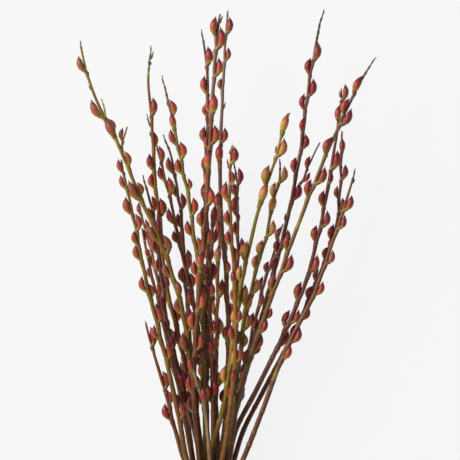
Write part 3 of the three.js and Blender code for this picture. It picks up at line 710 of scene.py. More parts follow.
def waves(distance, parts, seed):
    """Sum of sines of the distance, each with its share, its length and its shift by the seed."""
    return sum(share * np.sin(distance / length + shift * seed) for share, length, shift in parts)


def stem_surface(stem, buds, joints, start, sizes, seed):
    """Bark: a tapered round tube that bends towards each bud, swells under it and carries ring scars.
    The radius is the taper times one plus a bell at each bud and at each scar, plus a slow waver, and is
    the taper alone where the stems run close together."""
    rings = int((stem.length - start) / STEM_RING_STEP)
    distance = np.linspace(start, stem.length, rings)
    point, _, side, up, radius = stem.at(distance)
    y = point[:, 1]
    loose = np.where(y > 0, np.clip((y - CLOSE_REACH) / CLOSE_FADE, 0, 1), y < -NECK_HALF_LENGTH)
    scar = np.zeros(rings)
    swell = np.zeros(rings)
    shift = np.zeros((rings, 3))
    for bud in buds:
        swell += sizes.node_swelling * bump(distance, bud.distance + NODE_DROP, NODE_REACH)
        scar += bump(distance, bud.distance + SCAR_DROP, SCAR_REACH)
        shift += bud.radial * (sizes.zigzag * bump(distance, bud.distance, BEND_REACH))[:, None]
    place = buds[-1].distance + BUD_SPACING if buds else start + BUD_SPACING
    count = 0
    while place < stem.length - BUD_SPACING:
        swell += BARE_NODE_SHARE * sizes.node_swelling * bump(distance, place, BARE_NODE_REACH)
        scar += bump(distance, place, BARE_SCAR_REACH)
        place += BUD_SPACING * between(BARE_NODE_SPACING, seed, NODE_DRAWS + count)
        count += 1
    fresh = np.zeros(rings)
    for place, green in joints:
        swell += JOINT_SHARE * sizes.node_swelling * bump(distance, place * MM, JOINT_REACH)
        scar += JOINT_SCAR * bump(distance, place * MM, JOINT_SCAR_REACH)
        above = bump(distance, (place - JOINT_GREEN_LENGTH) * MM, JOINT_GREEN_LENGTH * MM)
        fresh += green * above * (distance < place * MM)
    radius = radius * ROUND_SHARE * (1 + loose * (swell + waves(distance, STEM_WAVERS, seed)))
    shift *= loose[:, None]
    grid, angle = tube(point + shift, -side, up, radius, STEM_AROUND)
    # One kept value marks the right and lower side, which the bark is painted darker on as shade
    return dict(grid=grid, surface=surface_places(distance, angle, radius.mean(), seed),
                scar=np.minimum(scar, 1)[:, None], age=(distance / stem.length)[:, None],
                painted_shade=painted_shade_share(grid, point + shift), fresh=fresh[:, None])


def painted_shade_share(grid, centres):
    """Painted shade: how far each point lies on the side that is painted darker as shade, from 0 to 1: the
    share of its direction from the middle line that points right and down."""
    direction = unit(grid - centres[:, None])
    return np.clip(0.5 + PAINTED_SHADE_SOFTNESS * (direction @ np.array(PAINTED_SHADE_SIDE)), 0, 1)


def surface_places(distance, angle, radius, seed):
    """Where a pattern lies on a round surface: the circle's two coordinates and the length in millimetres."""
    size = (len(distance), len(angle))
    circle = np.stack([np.cos(angle), np.sin(angle)], axis=-1) * radius / MM
    length = (distance / MM + PATTERN_SHIFT * seed)[:, None, None]
    return np.concatenate([np.broadcast_to(circle, (*size, 2)), np.broadcast_to(length, (*size, 1))],
                          axis=-1)


def cushion_surface(bud, sizes):
    """Foot of a bud: a slim cone of bark from the stem's side, widening with a sine to the bud's base."""
    share = np.linspace(CUSHION_FROM, CUSHION_TO, CUSHION_RINGS)
    grown = np.clip((share - CUSHION_FROM) / CUSHION_GROWTH, 0, 1)
    width = sizes.cushion_radius * bud.scale * np.sin(grown * math.pi / 2) ** CUSHION_POWER
    width[0] = CUSHION_POINT
    width[-1] *= CUSHION_TOP_SHARE
    below = np.minimum(share, 0) * bud.length
    centres = bud.middle(np.maximum(share, 0)) + bud.forward * below[:, None]
    centres -= bud.radial * (CUSHION_SINK * bud.scale * MM)
    along = share * bud.length
    grid, angle = tube(centres, bud.sideways, bud.radial, width, CUSHION_AROUND)
    green = CUSHION_GREENS[0 if bud.is_fresh else 1]
    # One kept value marks the right and lower side, which the foot is painted darker on as shade
    return dict(grid=grid, surface=surface_places(bud.distance - along, angle, bud.radius, bud.number),
                scar=(CUSHION_SCAR * grown)[:, None], age=bud.distance / bud.stem_length * CUSHION_AGE,
                painted_shade=painted_shade_share(grid, centres), fresh=(green * grown ** 2)[:, None])


def bud_surface(bud, sizes):
    """A pointed winter bud: an egg profile, given by its width at a few heights, is carried up the bud's
    middle line. The side that lies against the stem is flattened, and the tip runs out in a thin hooked
    beak."""
    height, width = np.array(BUD_PROFILE).T
    share = BUD_START + (1 - BUD_START) * height
    plump = between(BUD_PLUMPNESS, bud.number, PLUMP_DRAW)
    width = width * sizes.bud_radius * bud.scale * plump
    hook = BUD_HOOK - BUD_STRAIGHTER + between(BUD_HOOK_VARIATION, bud.number, HOOK_DRAW)
    centres = bud.middle(share, hook)
    angle = np.linspace(0, 2 * math.pi, BUD_AROUND, endpoint=False)
    outward, across = np.sin(angle), np.cos(angle)
    outward = np.where(outward < 0, outward * BUD_INNER_SHARE, outward * BUD_OUTER_SHARE)
    lean = bud.sideways * (between(BUD_LEAN, bud.number, LEAN_DRAW) * MM * height ** 2)[:, None]
    grid = ((centres + lean)[:, None]
            + bud.sideways * (across[None, :] * width[:, None])[..., None]
            + bud.radial * (outward[None, :] * width[:, None])[..., None])
    green = CRESCENT_GREENS[0 if bud.is_fresh else 1]
    # One kept value marks the right and lower side, which the bud is painted darker on as shade
    return dict(grid=grid, surface=surface_places(share * bud.length, angle, sizes.bud_radius, bud.number),
                height=height[:, None], painted_shade=painted_shade_share(grid, centres),
                crescent=green * np.clip(outward[None, :] + CRESCENT_REACH, 0, 1))


class WillowSizes(bpy.types.PropertyGroup):
    """Sizes of the finer forms on the stems and the tie."""
    node_swelling: FloatProperty(
        name="Node swelling", description="Share by which a stem thickens under a bud", default=0.22)
    zigzag: FloatProperty(
        name="Zigzag", description="How far a stem bends towards each bud", default=0.65 * MM,
        unit="LENGTH")
    cushion_radius: FloatProperty(
        name="Cushion radius", description="Radius of the bark foot under a bud", default=2.5 * MM,
        unit="LENGTH")
    bud_radius: FloatProperty(
        name="Bud radius", description="Radius of a full-sized bud", default=3.5 * MM, unit="LENGTH")
    spine_length: FloatProperty(
        name="Spine length", description="Length of the fine bristles on a withered tip",
        default=2.6 * MM, unit="LENGTH")
    twine_turns: IntProperty(
        name="Twine turns", description="Turns of twine side by side in the tie", default=5)


class WillowColours(bpy.types.PropertyGroup):
    """Colours of bark, buds, tips and twine."""
    bark_olive: FloatVectorProperty(
        name="Olive bark", description="Bark of the olive branches", subtype="COLOR_GAMMA",
        default=(0.6, 0.47, 0.12))
    bark_golden: FloatVectorProperty(
        name="Golden bark", description="Bark of the golden branches", subtype="COLOR_GAMMA",
        default=(0.66, 0.42, 0.12))
    bark_green: FloatVectorProperty(
        name="Green bark", description="Bark of the green branches", subtype="COLOR_GAMMA",
        default=(0.55, 0.48, 0.17))
    bark_brown: FloatVectorProperty(
        name="Brown bark", description="Bark of the brown branches", subtype="COLOR_GAMMA",
        default=(0.5, 0.28, 0.13))
    bark_grey: FloatVectorProperty(
        name="Grey bark", description="Bark of the grey-brown branches", subtype="COLOR_GAMMA",
        default=(0.52, 0.37, 0.25))
    bark_maroon: FloatVectorProperty(
        name="Maroon bark", description="Bark of the maroon branches", subtype="COLOR_GAMMA",
        default=(0.5, 0.25, 0.19))
    bark_tan: FloatVectorProperty(
        name="Tan bark", description="Bark of the tan branch", subtype="COLOR_GAMMA",
        default=(0.68, 0.5, 0.27))
    dry_tip: FloatVectorProperty(
        name="Withered tip", description="Dead ends of the branches", subtype="COLOR_GAMMA",
        default=(0.33, 0.28, 0.25))
    cut_wood: FloatVectorProperty(
        name="Cut wood", description="Cut ends of the stems", subtype="COLOR_GAMMA",
        default=(0.84, 0.75, 0.56))
    twine: FloatVectorProperty(
        name="Twine", description="Plain natural twine", subtype="COLOR_GAMMA",
        default=(0.73, 0.62, 0.45))


class WillowStage(bpy.types.PropertyGroup):
    """Table, lights and camera."""
    table: FloatVectorProperty(
        name="Table", description="Colour of the table", subtype="COLOR_GAMMA",
        default=(0.3, 0.3, 0.3))
    table_glow: FloatProperty(
        name="Table glow", description="Light that shines through the table from below", default=0.865)
    key_power: FloatProperty(
        name="Key light", description="Power of the soft light at the upper left", default=66.0,
        unit="POWER")
    ambient: FloatProperty(
        name="Ambient light", description="Strength of the light from all round", default=0.25)
    camera_distance: FloatProperty(
        name="Camera distance", description="Height of the camera over the bunch", default=6.0,
        unit="LENGTH")
    view_width: FloatProperty(
        name="View width", description="Width that the camera sees", default=0.46, unit="LENGTH")


class Shader:
    """A material's nodes, added one by one."""

    def __init__(self, name, roughness, specular):
        self.material = bpy.data.materials.new(name)
        self.material.use_nodes = True
        self.tree = self.material.node_tree
        self.surface = self.tree.nodes["Principled BSDF"]
        self.surface.inputs["Roughness"].default_value = roughness
        self.surface.inputs["Specular IOR Level"].default_value = specular

    def node(self, kind, inputs=(), **settings):
        """Adds a node, sets its settings, and links or sets its inputs."""
        node = self.tree.nodes.new(kind)
        for name, value in settings.items():
            setattr(node, name, value)
        for name, value in dict(inputs).items():
            self.feed(node.inputs[name], value)
        return node

    def feed(self, socket, value):
        """Links an output to a socket, or sets the socket's own value."""
        if isinstance(value, bpy.types.NodeSocket):
            self.tree.links.new(value, socket)
        else:
            socket.default_value = value

    def value(self, name):
        """A number kept at each point of the piece."""
        return self.node("ShaderNodeAttribute", attribute_name=name).outputs["Fac"]

    def places(self, scale):
        """Coordinates on the piece's surface, stretched."""
        vector = self.node("ShaderNodeAttribute", attribute_name="surface").outputs["Vector"]
        return self.node("ShaderNodeMapping", {"Vector": vector, "Scale": scale}).outputs["Vector"]

    def noise(self, stretch, detail):
        """Soft noise from 0 to 1 on the piece's surface, stretched."""
        return self.node("ShaderNodeTexNoise", {"Vector": self.places(stretch), "Scale": 1.0,
                                                "Detail": detail}).outputs["Fac"]

    def ramp(self, value, stops):
        """A colour, or a grey value, looked up along stops of (place, colour)."""
        node = self.node("ShaderNodeValToRGB", {"Fac": value})
        elements = node.color_ramp.elements
        while len(elements) < len(stops):
            elements.new(0.5)
        for element, (place, colour) in zip(elements, stops):
            element.position = place
            element.color = colour if isinstance(colour, tuple) else (colour,) * 3 + (1,)
        return node.outputs["Color"]

    def mix(self, factor, a, b):
        """Two colours blended by a factor."""
        node = self.node("ShaderNodeMix", data_type="RGBA")
        for socket, value in zip((node.inputs[0], node.inputs[6], node.inputs[7]), (factor, a, b)):
            self.feed(socket, value)
        return node.outputs[2]

    def result(self, operation, a, b):
        """Result of an operation on two numbers."""
        node = self.node("ShaderNodeMath", operation=operation)
        self.feed(node.inputs[0], a)
        self.feed(node.inputs[1], b)
        return node.outputs[0]

    def times(self, a, b):
        """Product of two numbers."""
        return self.result("MULTIPLY", a, b)

    def plus(self, a, b):
        """Sum of two numbers."""
        return self.result("ADD", a, b)

    def finish(self, colour, height=None, strength=0.3, distance=0.2 * MM):
        """Sets the colour and, if given, the relief."""
        self.feed(self.surface.inputs["Base Color"], colour)
        if height is not None:
            relief = self.node("ShaderNodeBump", {"Height": height, "Strength": strength,
                                                  "Distance": distance})
            self.tree.links.new(relief.outputs["Normal"], self.surface.inputs["Normal"])
        return self.material


def linear(colour, share=1.0):
    """A shown colour as the light it sends back, by the standard curve of screens, times a share, with an
    alpha of one."""
    shown = np.clip(np.array(colour[:3], float), 0, 1)
    light = np.where(shown <= 0.04045, shown / 12.92, ((shown + 0.055) / 1.055) ** 2.4) * share
    return (*(float(v) for v in light), 1.0)


def bark_material(name, colour):
    """Bark: streaks along the stem, slow changes of tone, painted shade on the right and lower side, pale
    pores and ring scars at the nodes.
    """
    shader = Shader(name, roughness=0.42, specular=0.45)
    slow = shader.noise((0.12, 0.12, 0.035), 2.0)
    streaks = shader.noise((1.1, 1.1, 0.09), 4.0)
    fine = shader.noise((3.0, 3.0, 0.5), 2.0)
    base = shader.mix(shader.ramp(slow, ((0.36, 0.0), (0.66, 1.0))), linear(colour, 0.7),
                      linear(colour, 1.15))
    for leaning, other in LEANINGS.items():
        base = shader.mix(shader.value(leaning), base, linear(other))
    old = shader.ramp(shader.value("age"), ((0.36, 0.0), (0.78, 0.66)))
    base = shader.mix(old, base, linear(BARK_SHADES["old"]))
    # Painted shade: the right and lower side of each stem is painted a dark brown, as the shade that the
    # light would give there
    painted_shade = shader.plus(shader.value("painted_shade"), shader.times(shader.plus(slow, -0.5), 0.5))
    base = shader.mix(shader.ramp(painted_shade, ((0.42, 0.0), (0.9, 0.88))), base, linear(BARK_SHADES["painted_shade"]))
    dark = shader.mix(0.6, base, linear(BARK_SHADES["dark"]))
    tone = shader.mix(shader.ramp(streaks, ((0.32, 0.7), (0.56, 0.0))), base, dark)
    tone = shader.mix(shader.times(shader.ramp(fine, ((0.45, 0.0), (0.75, 1.0))), 0.12), tone,
                      linear(BARK_SHADES["flecks"]))
    tone = shader.mix(shader.times(shader.value("fresh"), 0.7), tone, linear(BARK_SHADES["fresh"]))
    pores = shader.node("ShaderNodeTexVoronoi", {
        "Vector": shader.places((0.42, 0.42, 0.24)), "Scale": 1.0}).outputs["Distance"]
    pore = shader.ramp(pores, ((0.1, 1.0), (0.17, 0.0)))
    tone = shader.mix(shader.times(pore, 0.45), tone, linear(BARK_SHADES["pores"]))
    scar = shader.value("scar")
    tone = shader.mix(shader.times(scar, 0.6), tone, linear(BARK_SHADES["scars"]))
    height = shader.plus(shader.times(streaks, 0.5), shader.plus(shader.times(pore, 0.5), scar))
    return shader.finish(tone, height, 0.35, 0.25 * MM)


def bud_material(name, dull, bright):
    """Smooth bud scale: a base colour that deepens to the tip, painted shade on the right and lower side, a
    pale base crescent on some buds, fine streaks along it and a dark dry beak."""
    shader = Shader(name, roughness=0.4, specular=0.4)
    shader.surface.inputs["Coat Weight"].default_value = 0.12
    shader.surface.inputs["Coat Roughness"].default_value = 0.22
    height = shader.value("height")
    blotch = shader.noise((0.3, 0.3, 0.16), 3.0)
    shifted = shader.plus(height, shader.times(shader.plus(blotch, -0.5), 0.35))
    low = shader.ramp(shifted, tuple((place, linear(colour)) for place, colour in dull))
    high = shader.ramp(shifted, tuple((place, linear(colour)) for place, colour in bright))
    tone = shader.mix(shader.value("tone"), low, high)
    brown = shader.mix(height, linear(BUD_SHADES["brown_base"]), linear(BUD_SHADES["brown_tip"]))
    tone = shader.mix(shader.value("brown"), tone, brown)
    # Painted shade: the right and lower side of each bud is painted a deep dark red, as the shade that the
    # light would give there
    painted_shade = shader.plus(shader.value("painted_shade"), shader.times(shader.plus(blotch, -0.5), 0.4))
    shaded_tone = shader.mix(0.75, tone, linear(BUD_SHADES["painted_shade"]))
    tone = shader.mix(shader.ramp(painted_shade, ((0.5, 0.0), (1.0, 0.85))), tone, shaded_tone)
    streaks = shader.noise((1.6, 1.6, 0.12), 4.0)
    streak = shader.times(shader.ramp(streaks, ((0.35, 1.0), (0.6, 0.0))), 0.35)
    tone = shader.mix(streak, tone, shader.mix(0.6, tone, linear(BUD_SHADES["streaks"])))
    edge = shader.times(shader.ramp(height, ((0.13, 1.0), (0.22, 0.0))), shader.value("crescent"))
    tone = shader.mix(edge, tone, linear(BUD_SHADES["crescent"]))
    beak = shader.ramp(height, ((0.86, 0.0), (0.93, 1.0)))
    tone = shader.mix(beak, tone, linear(BUD_SHADES["beak"]))
    return shader.finish(tone, streaks, 0.12, 0.2 * MM)


def dry_material(colour):
    """Withered twig end: dull, patchy and finely wrinkled."""
    shader = Shader("withered_tip", roughness=0.85, specular=0.2)
    patches = shader.noise((0.6, 0.6, 0.35), 3.0)
    wrinkles = shader.noise((3.0, 3.0, 1.4), 3.0)
    tone = shader.mix(shader.ramp(patches, ((0.35, 0.0), (0.65, 1.0))), linear(colour, 0.55),
                      linear(colour, 1.7))
    tone = shader.mix(shader.times(shader.value("pale"), shader.plus(patches, 0.3)), tone,
                      linear(TIP_SHADES["pale"]))
    tone = shader.mix(shader.value("green"), tone, linear(TIP_SHADES["green"]))
    return shader.finish(tone, wrinkles, 0.5, 0.2 * MM)


def cut_material(colour):
    """Cut wood: pale, with faint rings, a brown pith and a darker rim under the bark."""
    shader = Shader("cut_wood", roughness=0.8, specular=0.2)
    out = shader.value("out")
    rings = shader.node("ShaderNodeTexWave", {"Vector": shader.places((1, 1, 1)), "Scale": 0.9,
                                              "Distortion": 1.2}, wave_type="RINGS",
                        rings_direction="Z").outputs["Fac"]
    wood = shader.mix(shader.times(rings, 0.35), linear(colour), linear(colour, 0.6))
    wood = shader.mix(shader.ramp(out, ((0.1, 1.0), (0.2, 0.0))), wood, linear(CUT_SHADES["pith"]))
    wood = shader.mix(shader.ramp(out, ((0.86, 0.0), (0.95, 1.0))), wood, linear(CUT_SHADES["rim"]))
    return shader.finish(wood, rings, 0.3, 0.1 * MM)


def twine_material(colour):
    """Twine: dull fibres that run along each ply, with darker lines between them."""
    shader = Shader("twine", roughness=0.9, specular=0.15)
    fibres = shader.noise((5.0, 5.0, 0.25), 4.0)
    patches = shader.noise((0.4, 0.4, 0.12), 2.0)
    tone = shader.mix(shader.ramp(fibres, ((0.35, 0.0), (0.65, 1.0))), linear(colour, 0.5),
                      linear(colour, 1.15))
    tone = shader.mix(shader.times(patches, 0.4), tone, linear(colour, 0.65))
    return shader.finish(tone, fibres, 0.6, 0.25 * MM)


# Colours as they are shown: shades that all bark, buds, withered tips and cut ends share, among them the
# painted shade of the right and lower sides of stems and buds, and the colours that a branch's bark can lean
# to
BARK_SHADES = {"old": (0.42, 0.23, 0.08), "painted_shade": (0.2, 0.09, 0.06), "dark": (0.17, 0.08, 0.06),
               "flecks": (0.8, 0.62, 0.4), "fresh": (0.7, 0.62, 0.2), "pores": (0.72, 0.58, 0.4),
               "scars": (0.62, 0.5, 0.38)}
BUD_SHADES = {"brown_base": (0.68, 0.47, 0.27), "brown_tip": (0.42, 0.24, 0.17),
              "painted_shade": (0.27, 0.06, 0.07), "streaks": (0.22, 0.06, 0.05), "crescent": (0.74, 0.7, 0.33),
              "beak": (0.2, 0.15, 0.13)}
TIP_SHADES = {"pale": (0.64, 0.5, 0.4), "green": (0.6, 0.62, 0.24)}
CUT_SHADES = {"pith": (0.45, 0.3, 0.18), "rim": (0.4, 0.42, 0.2)}
LEANINGS = {"warm": (0.5, 0.3, 0.13), "lime": (0.62, 0.54, 0.1), "red": (0.47, 0.22, 0.18),
            "grey": (0.58, 0.48, 0.39)}
# Colours of the four kinds of bud, each at its height from base to tip
MAROON_BUD = ((0.0, (0.66, 0.4, 0.21)), (0.18, (0.63, 0.23, 0.19)), (0.45, (0.6, 0.13, 0.19)),
              (0.75, (0.46, 0.1, 0.16)), (0.95, (0.29, 0.09, 0.11)))
ORANGE_BUD = ((0.0, (0.84, 0.6, 0.25)), (0.25, (0.82, 0.46, 0.22)), (0.5, (0.75, 0.28, 0.2)),
              (0.75, (0.59, 0.17, 0.18)), (0.95, (0.36, 0.13, 0.13)))
YELLOW_BUD = ((0.0, (0.78, 0.7, 0.28)), (0.25, (0.87, 0.68, 0.32)), (0.5, (0.86, 0.59, 0.31)),
              (0.8, (0.72, 0.38, 0.22)), (0.95, (0.44, 0.22, 0.14)))
AMBER_BUD = ((0.0, (0.8, 0.64, 0.26)), (0.25, (0.86, 0.58, 0.27)), (0.5, (0.82, 0.47, 0.26)),
             (0.8, (0.62, 0.27, 0.18)), (0.95, (0.4, 0.17, 0.12)))


def leanings(branch, distance):
    """How far the bark leans to other colours: the branch's own shares, which fade out where they end."""
    shares = {}
    for name in LEANINGS:
        left = branch.get(name + "_to", LEANING_WITHOUT_END) * MM - distance
        shares[name] = branch.get(name, 0.0) * np.clip(left / LEANING_FADE + 0.5, 0, 1)
    return shares


class WILLOW_OT_stems(bpy.types.Operator):
    """Bark-covered stems and side twigs with the feet of their buds, one piece for each branch"""
    bl_idname = "willow.stems"
    bl_label = "Stems"

    def execute(self, context):
        sizes, colours = context.scene.willow_sizes, context.scene.willow_colours
        barks = {}
        for branch in grown_bunch():
            slot = "bark_" + branch["bark"]
            if slot not in barks:
                barks[slot] = bark_material(slot, getattr(colours, slot))
            surfaces = Surfaces("surface", "scar", "age", "painted_shade", "fresh", *LEANINGS)
            start = max(branch["dry"] - TIP_OVERLAP, TIP_BARK_FREE) * MM
            parts = [(branch["stem"], branch["stem_buds"], branch.get("joints", ()), start,
                      branch["index"] + 1)]
            if branch["twig_stem"]:
                seed = branch["index"] + TWIG_SEED
                parts.append((branch["twig_stem"], branch["side_buds"], (), 0, seed))
            for stem, buds, joints, first, seed in parts:
                bark = stem_surface(stem, buds, joints, first, sizes, seed)
                surfaces.add(**bark, **leanings(branch, bark["age"] * stem.length))
                for bud in buds:
                    surfaces.add(**cushion_surface(bud, sizes), **leanings(branch, bud.distance))
            piece = surfaces.piece("stem_" + branch["name"], barks[slot], slot)
            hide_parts("branch_" + branch["name"])
        return {"FINISHED"}


class WILLOW_OT_buds(bpy.types.Operator):
    """Pointed winter buds, one piece for each branch"""
    bl_idname = "willow.buds"
    bl_label = "Buds"

    def execute(self, context):
        sizes = context.scene.willow_sizes
        scales = {"bud_red": bud_material("bud_red", MAROON_BUD, ORANGE_BUD),
                  "bud_amber": bud_material("bud_amber", AMBER_BUD, YELLOW_BUD)}
        for branch in grown_bunch():
            surfaces = Surfaces("surface", "height", "tone", "brown", "crescent", "painted_shade")
            for bud in branch["stem_buds"] + branch["side_buds"]:
                tone = branch.get("tone", 0.5) + between(BUD_TONE_VARIATION, bud.number, TONE_DRAW)
                drawn = BROWN_GROWTH * max(0, chance(bud.number, BROWN_DRAW) - BROWN_FROM)
                brown = min(branch.get("brown", 0.0) + drawn, MOST_BROWN)
                surfaces.add(**bud_surface(bud, sizes), tone=np.clip(tone, 0, 1), brown=brown)
            slot = "bud_amber" if branch.get("amber") else "bud_red"
            surfaces.piece("buds_" + branch["name"], scales[slot], slot)
        return {"FINISHED"}


def tip_surface(branch, seed):
    """Withered end of a stem: a thin tube that widens with a power of the distance and is knobbed by two
    sines. It is bent sideways by a third sine, or by a steady lean, and that fades out down to the bark."""
    stem, reach = branch["stem"], branch["dry"] * MM
    distance = np.linspace(0, reach, max(FEWEST_RINGS, int(reach / TIP_RING_STEP)))
    point, _, side, up, _ = stem.at(distance)
    lean = branch.get("plain_tip", 0) * MM
    rough = lean == 0
    radius = TIP_END_RADIUS + (stem.radius(reach) - TIP_NARROWING) * (distance / reach) ** TIP_POWER
    radius = radius * (1 + rough * waves(distance, TIP_KNOBS, seed))
    crook = lean + rough * TIP_CROOK * np.sin(distance / TIP_CROOK_LENGTH + seed)
    crook = crook * (1 - distance / reach)
    grid, angle = tube(point + side * crook[:, None], -side, up, radius, TIP_AROUND)
    low_end = np.clip((distance / reach - TIP_GREEN_FROM) * TIP_GREEN_GROWTH, 0, 1)
    return dict(grid=grid, surface=surface_places(distance, angle, TIP_RADIUS, seed),
                green=(branch.get("green_tip", 0.0) * low_end)[:, None])


def bristle_surface(stem, reach, length, number, seed):
    """A fine bristle: a thin tube that tapers evenly, slants up from the withered tip and bends towards the
    tip with the square of the height."""
    start = reach * between(BRISTLE_PLACES, seed, BRISTLE_PLACE_DRAWS + number)
    foot, ahead, across, above, _ = stem.at(start)
    turn = 2 * math.pi * chance(seed, BRISTLE_TURN_DRAWS + number)
    out = across * math.cos(turn) + above * math.sin(turn)
    way = unit(ahead * BRISTLE_SLANT + out)
    height = np.linspace(0, 1, BRISTLE_RINGS)
    length = length * between(BRISTLE_LENGTHS, seed, BRISTLE_LENGTH_DRAWS + number)
    centres = foot + way * (height * length)[:, None] + ahead * (BRISTLE_BEND * length * height ** 2)[:, None]
    side = np.cross(way, out)
    thick = BRISTLE_RADIUS * (1 - BRISTLE_THINNING * height)
    grid, angle = tube(centres, unit(side), unit(np.cross(side, way)), thick, BRISTLE_AROUND)
    return dict(grid=grid[::-1], green=0.0,
                surface=surface_places(height * length, angle, BRISTLE_PATTERN_RADIUS, seed))


def spur_surface(stem, distance, turn, length, green, seed):
    """A short withered side shoot: a thin tapered tube that leaves the stem's side and bends up along it
    with the square of the height, with small knobs."""
    foot, forward, side, up, radius = stem.at(distance)
    out = side * math.cos(turn) + up * math.sin(turn)
    height = np.linspace(0, 1, max(FEWEST_RINGS, int(length / SPUR_RING_STEP)))
    spread = radius * SPUR_FOOT + length * (SPUR_SPREAD * height - SPUR_RETURN * height ** 2)
    centres = foot + forward * (height * length * SPUR_RISE)[:, None] + out * spread[:, None]
    knobs = 1 + SPUR_KNOB_SHARE * np.sin(height * length / SPUR_KNOB_LENGTH + seed)
    thick = (SPUR_RADIUS * (1 - height) ** SPUR_POWER + SPUR_END_RADIUS) * knobs
    grid, angle = tube(centres, unit(np.cross(forward, out)), out, thick, TIP_AROUND)
    low_end = np.clip(SPUR_GREEN[0] - SPUR_GREEN[1] * height, 0, 1)
    return dict(grid=grid, surface=surface_places(height * length, angle, TIP_RADIUS, seed),
                green=(green * low_end)[:, None])


class WILLOW_OT_tips(bpy.types.Operator):
    """Withered ends of the branches with a few fine bristles, and short withered side shoots"""
    bl_idname = "willow.tips"
    bl_label = "Withered tips"

    def execute(self, context):
        longest = context.scene.willow_sizes.spine_length
        surfaces = Surfaces("surface", "green", "pale")
        for branch in grown_bunch():
            stem, seed = branch["stem"], branch["index"] + 1
            pale, reach = branch.get("pale", TIP_PALENESS), branch["dry"] * MM
            surfaces.add(**tip_surface(branch, seed), pale=pale)
            bristles = 0 if "plain_tip" in branch else FEWEST_BRISTLES + int(reach / BRISTLE_SPACING)
            for number in range(bristles):
                surfaces.add(**bristle_surface(stem, reach, longest, number, seed), pale=pale)
            for distance, degrees, length, green in branch.get("spurs", ()):
                surfaces.add(**spur_surface(stem, distance * MM, math.radians(degrees), length * MM,
                                            green, seed), pale=pale)
        surfaces.piece("dry_tips", dry_material(context.scene.willow_colours.dry_tip), "dry_tip")
        return {"FINISHED"}


class WILLOW_OT_cut_ends(bpy.types.Operator):
    """Pale cut faces at the lower ends of the stems, each a low dome whose rim turns back under the bark"""
    bl_idname = "willow.cut_ends"
    bl_label = "Cut ends"

    def execute(self, context):
        surfaces = Surfaces("surface", "out")
        out, depth = np.array(CUT_DOME).T
        for branch in grown_bunch():
            stem = branch["stem"]
            point, forward, side, up, radius = stem.at(stem.length)
            centres = point - forward * (depth * MM)[:, None]
            rim = radius * ROUND_SHARE * CUT_RIM_SHARE
            grid, angle = tube(centres, -side, up, rim * out, CUT_AROUND)
            circle = np.stack([np.cos(angle), np.sin(angle)], axis=-1) * (rim * out / MM)[:, None, None]
            flat = np.concatenate([circle, np.zeros(circle.shape[:2] + (1,))], axis=-1)
            surfaces.add(grid[::-1], surface=flat[::-1], out=out[::-1, None])
        surfaces.piece("cut_ends", cut_material(context.scene.willow_colours.cut_wood), "cut_wood")
        return {"FINISHED"}


def neck_outline(reach, steps):
    """Outline at a reach round the stems in the neck: for each direction, the furthest stem plus reach."""
    angle = (np.arange(steps) + 0.5) * 2 * math.pi / steps
    direction = np.stack([np.cos(angle), np.sin(angle)], axis=-1)
    places = np.array([(b["neck_x"], row_height(b["row"], 0)) for b in grown_bunch()])
    return places[np.argmax(direction @ places.T, axis=1)] + direction * reach


def even_path(points, step):
    """The same path with points an even distance apart."""
    lengths = np.concatenate([[0], np.cumsum(np.linalg.norm(np.diff(points, axis=0), axis=1))])
    at = np.linspace(0, lengths[-1], int(lengths[-1] / step) + 1)
    return np.stack([np.interp(at, lengths, points[:, axis]) for axis in range(3)], axis=-1), at


def twisted_plies(surfaces, points, radius, seed):
    """Two plies wound round each other: each ply's centre circles the path once in almost four diameters."""
    ply = radius * PLY_SHARE
    path, at = even_path(points, radius * TWINE_STEP)
    forward = unit(np.gradient(path, axis=0))
    across = unit(np.cross(forward, TWINE_SIDE))
    above = np.cross(across, forward)
    for half in range(2):
        turn = at / (radius * TWIST_LENGTH) * 2 * math.pi + half * math.pi
        offset = (across * np.cos(turn)[:, None] + above * np.sin(turn)[:, None]) * (radius - ply)
        centres = path + offset
        centres[:, 2] = np.maximum(centres[:, 2], ply + TWINE_TABLE_GAP)
        grid, angle = tube(centres, across, above, ply, TWINE_AROUND)
        surfaces.add(grid[::-1], surface=surface_places(at, angle, ply, seed + half)[::-1])


def knot_path(top, radius):
    """Knot on top of the neck: a trefoil, two sines and two cosines seen from above and a third sine for
    the height, stretched to the knot's size."""
    t = np.linspace(0, 2 * math.pi, KNOT_POINTS)
    knot = np.stack([np.sin(t) + 2 * np.sin(2 * t), np.cos(t) - 2 * np.cos(2 * t), -np.sin(3 * t)],
                    axis=-1)
    knot = knot / np.array(KNOT_REACH) * (np.array(KNOT_SIZE) - radius)
    return knot + (top[0], 0, top[1] + KNOT_RISE)


def knot_end_path(top, way):
    """Loose end of the twine: it runs out evenly, rises with a sine and drops with the square of the
    length."""
    t = np.linspace(0, 1, KNOT_END_POINTS)
    out = KNOT_END_FROM[0] + KNOT_END_RUN[0] * t
    along = KNOT_END_FROM[1] + KNOT_END_RUN[1] * t
    height = KNOT_END_FROM[2] + KNOT_END_RISE * np.sin(t * KNOT_END_BEND) - KNOT_END_DROP * t ** 2
    return np.stack([top[0] + way * out * MM, way * along * MM, top[1] + height * MM], axis=-1)


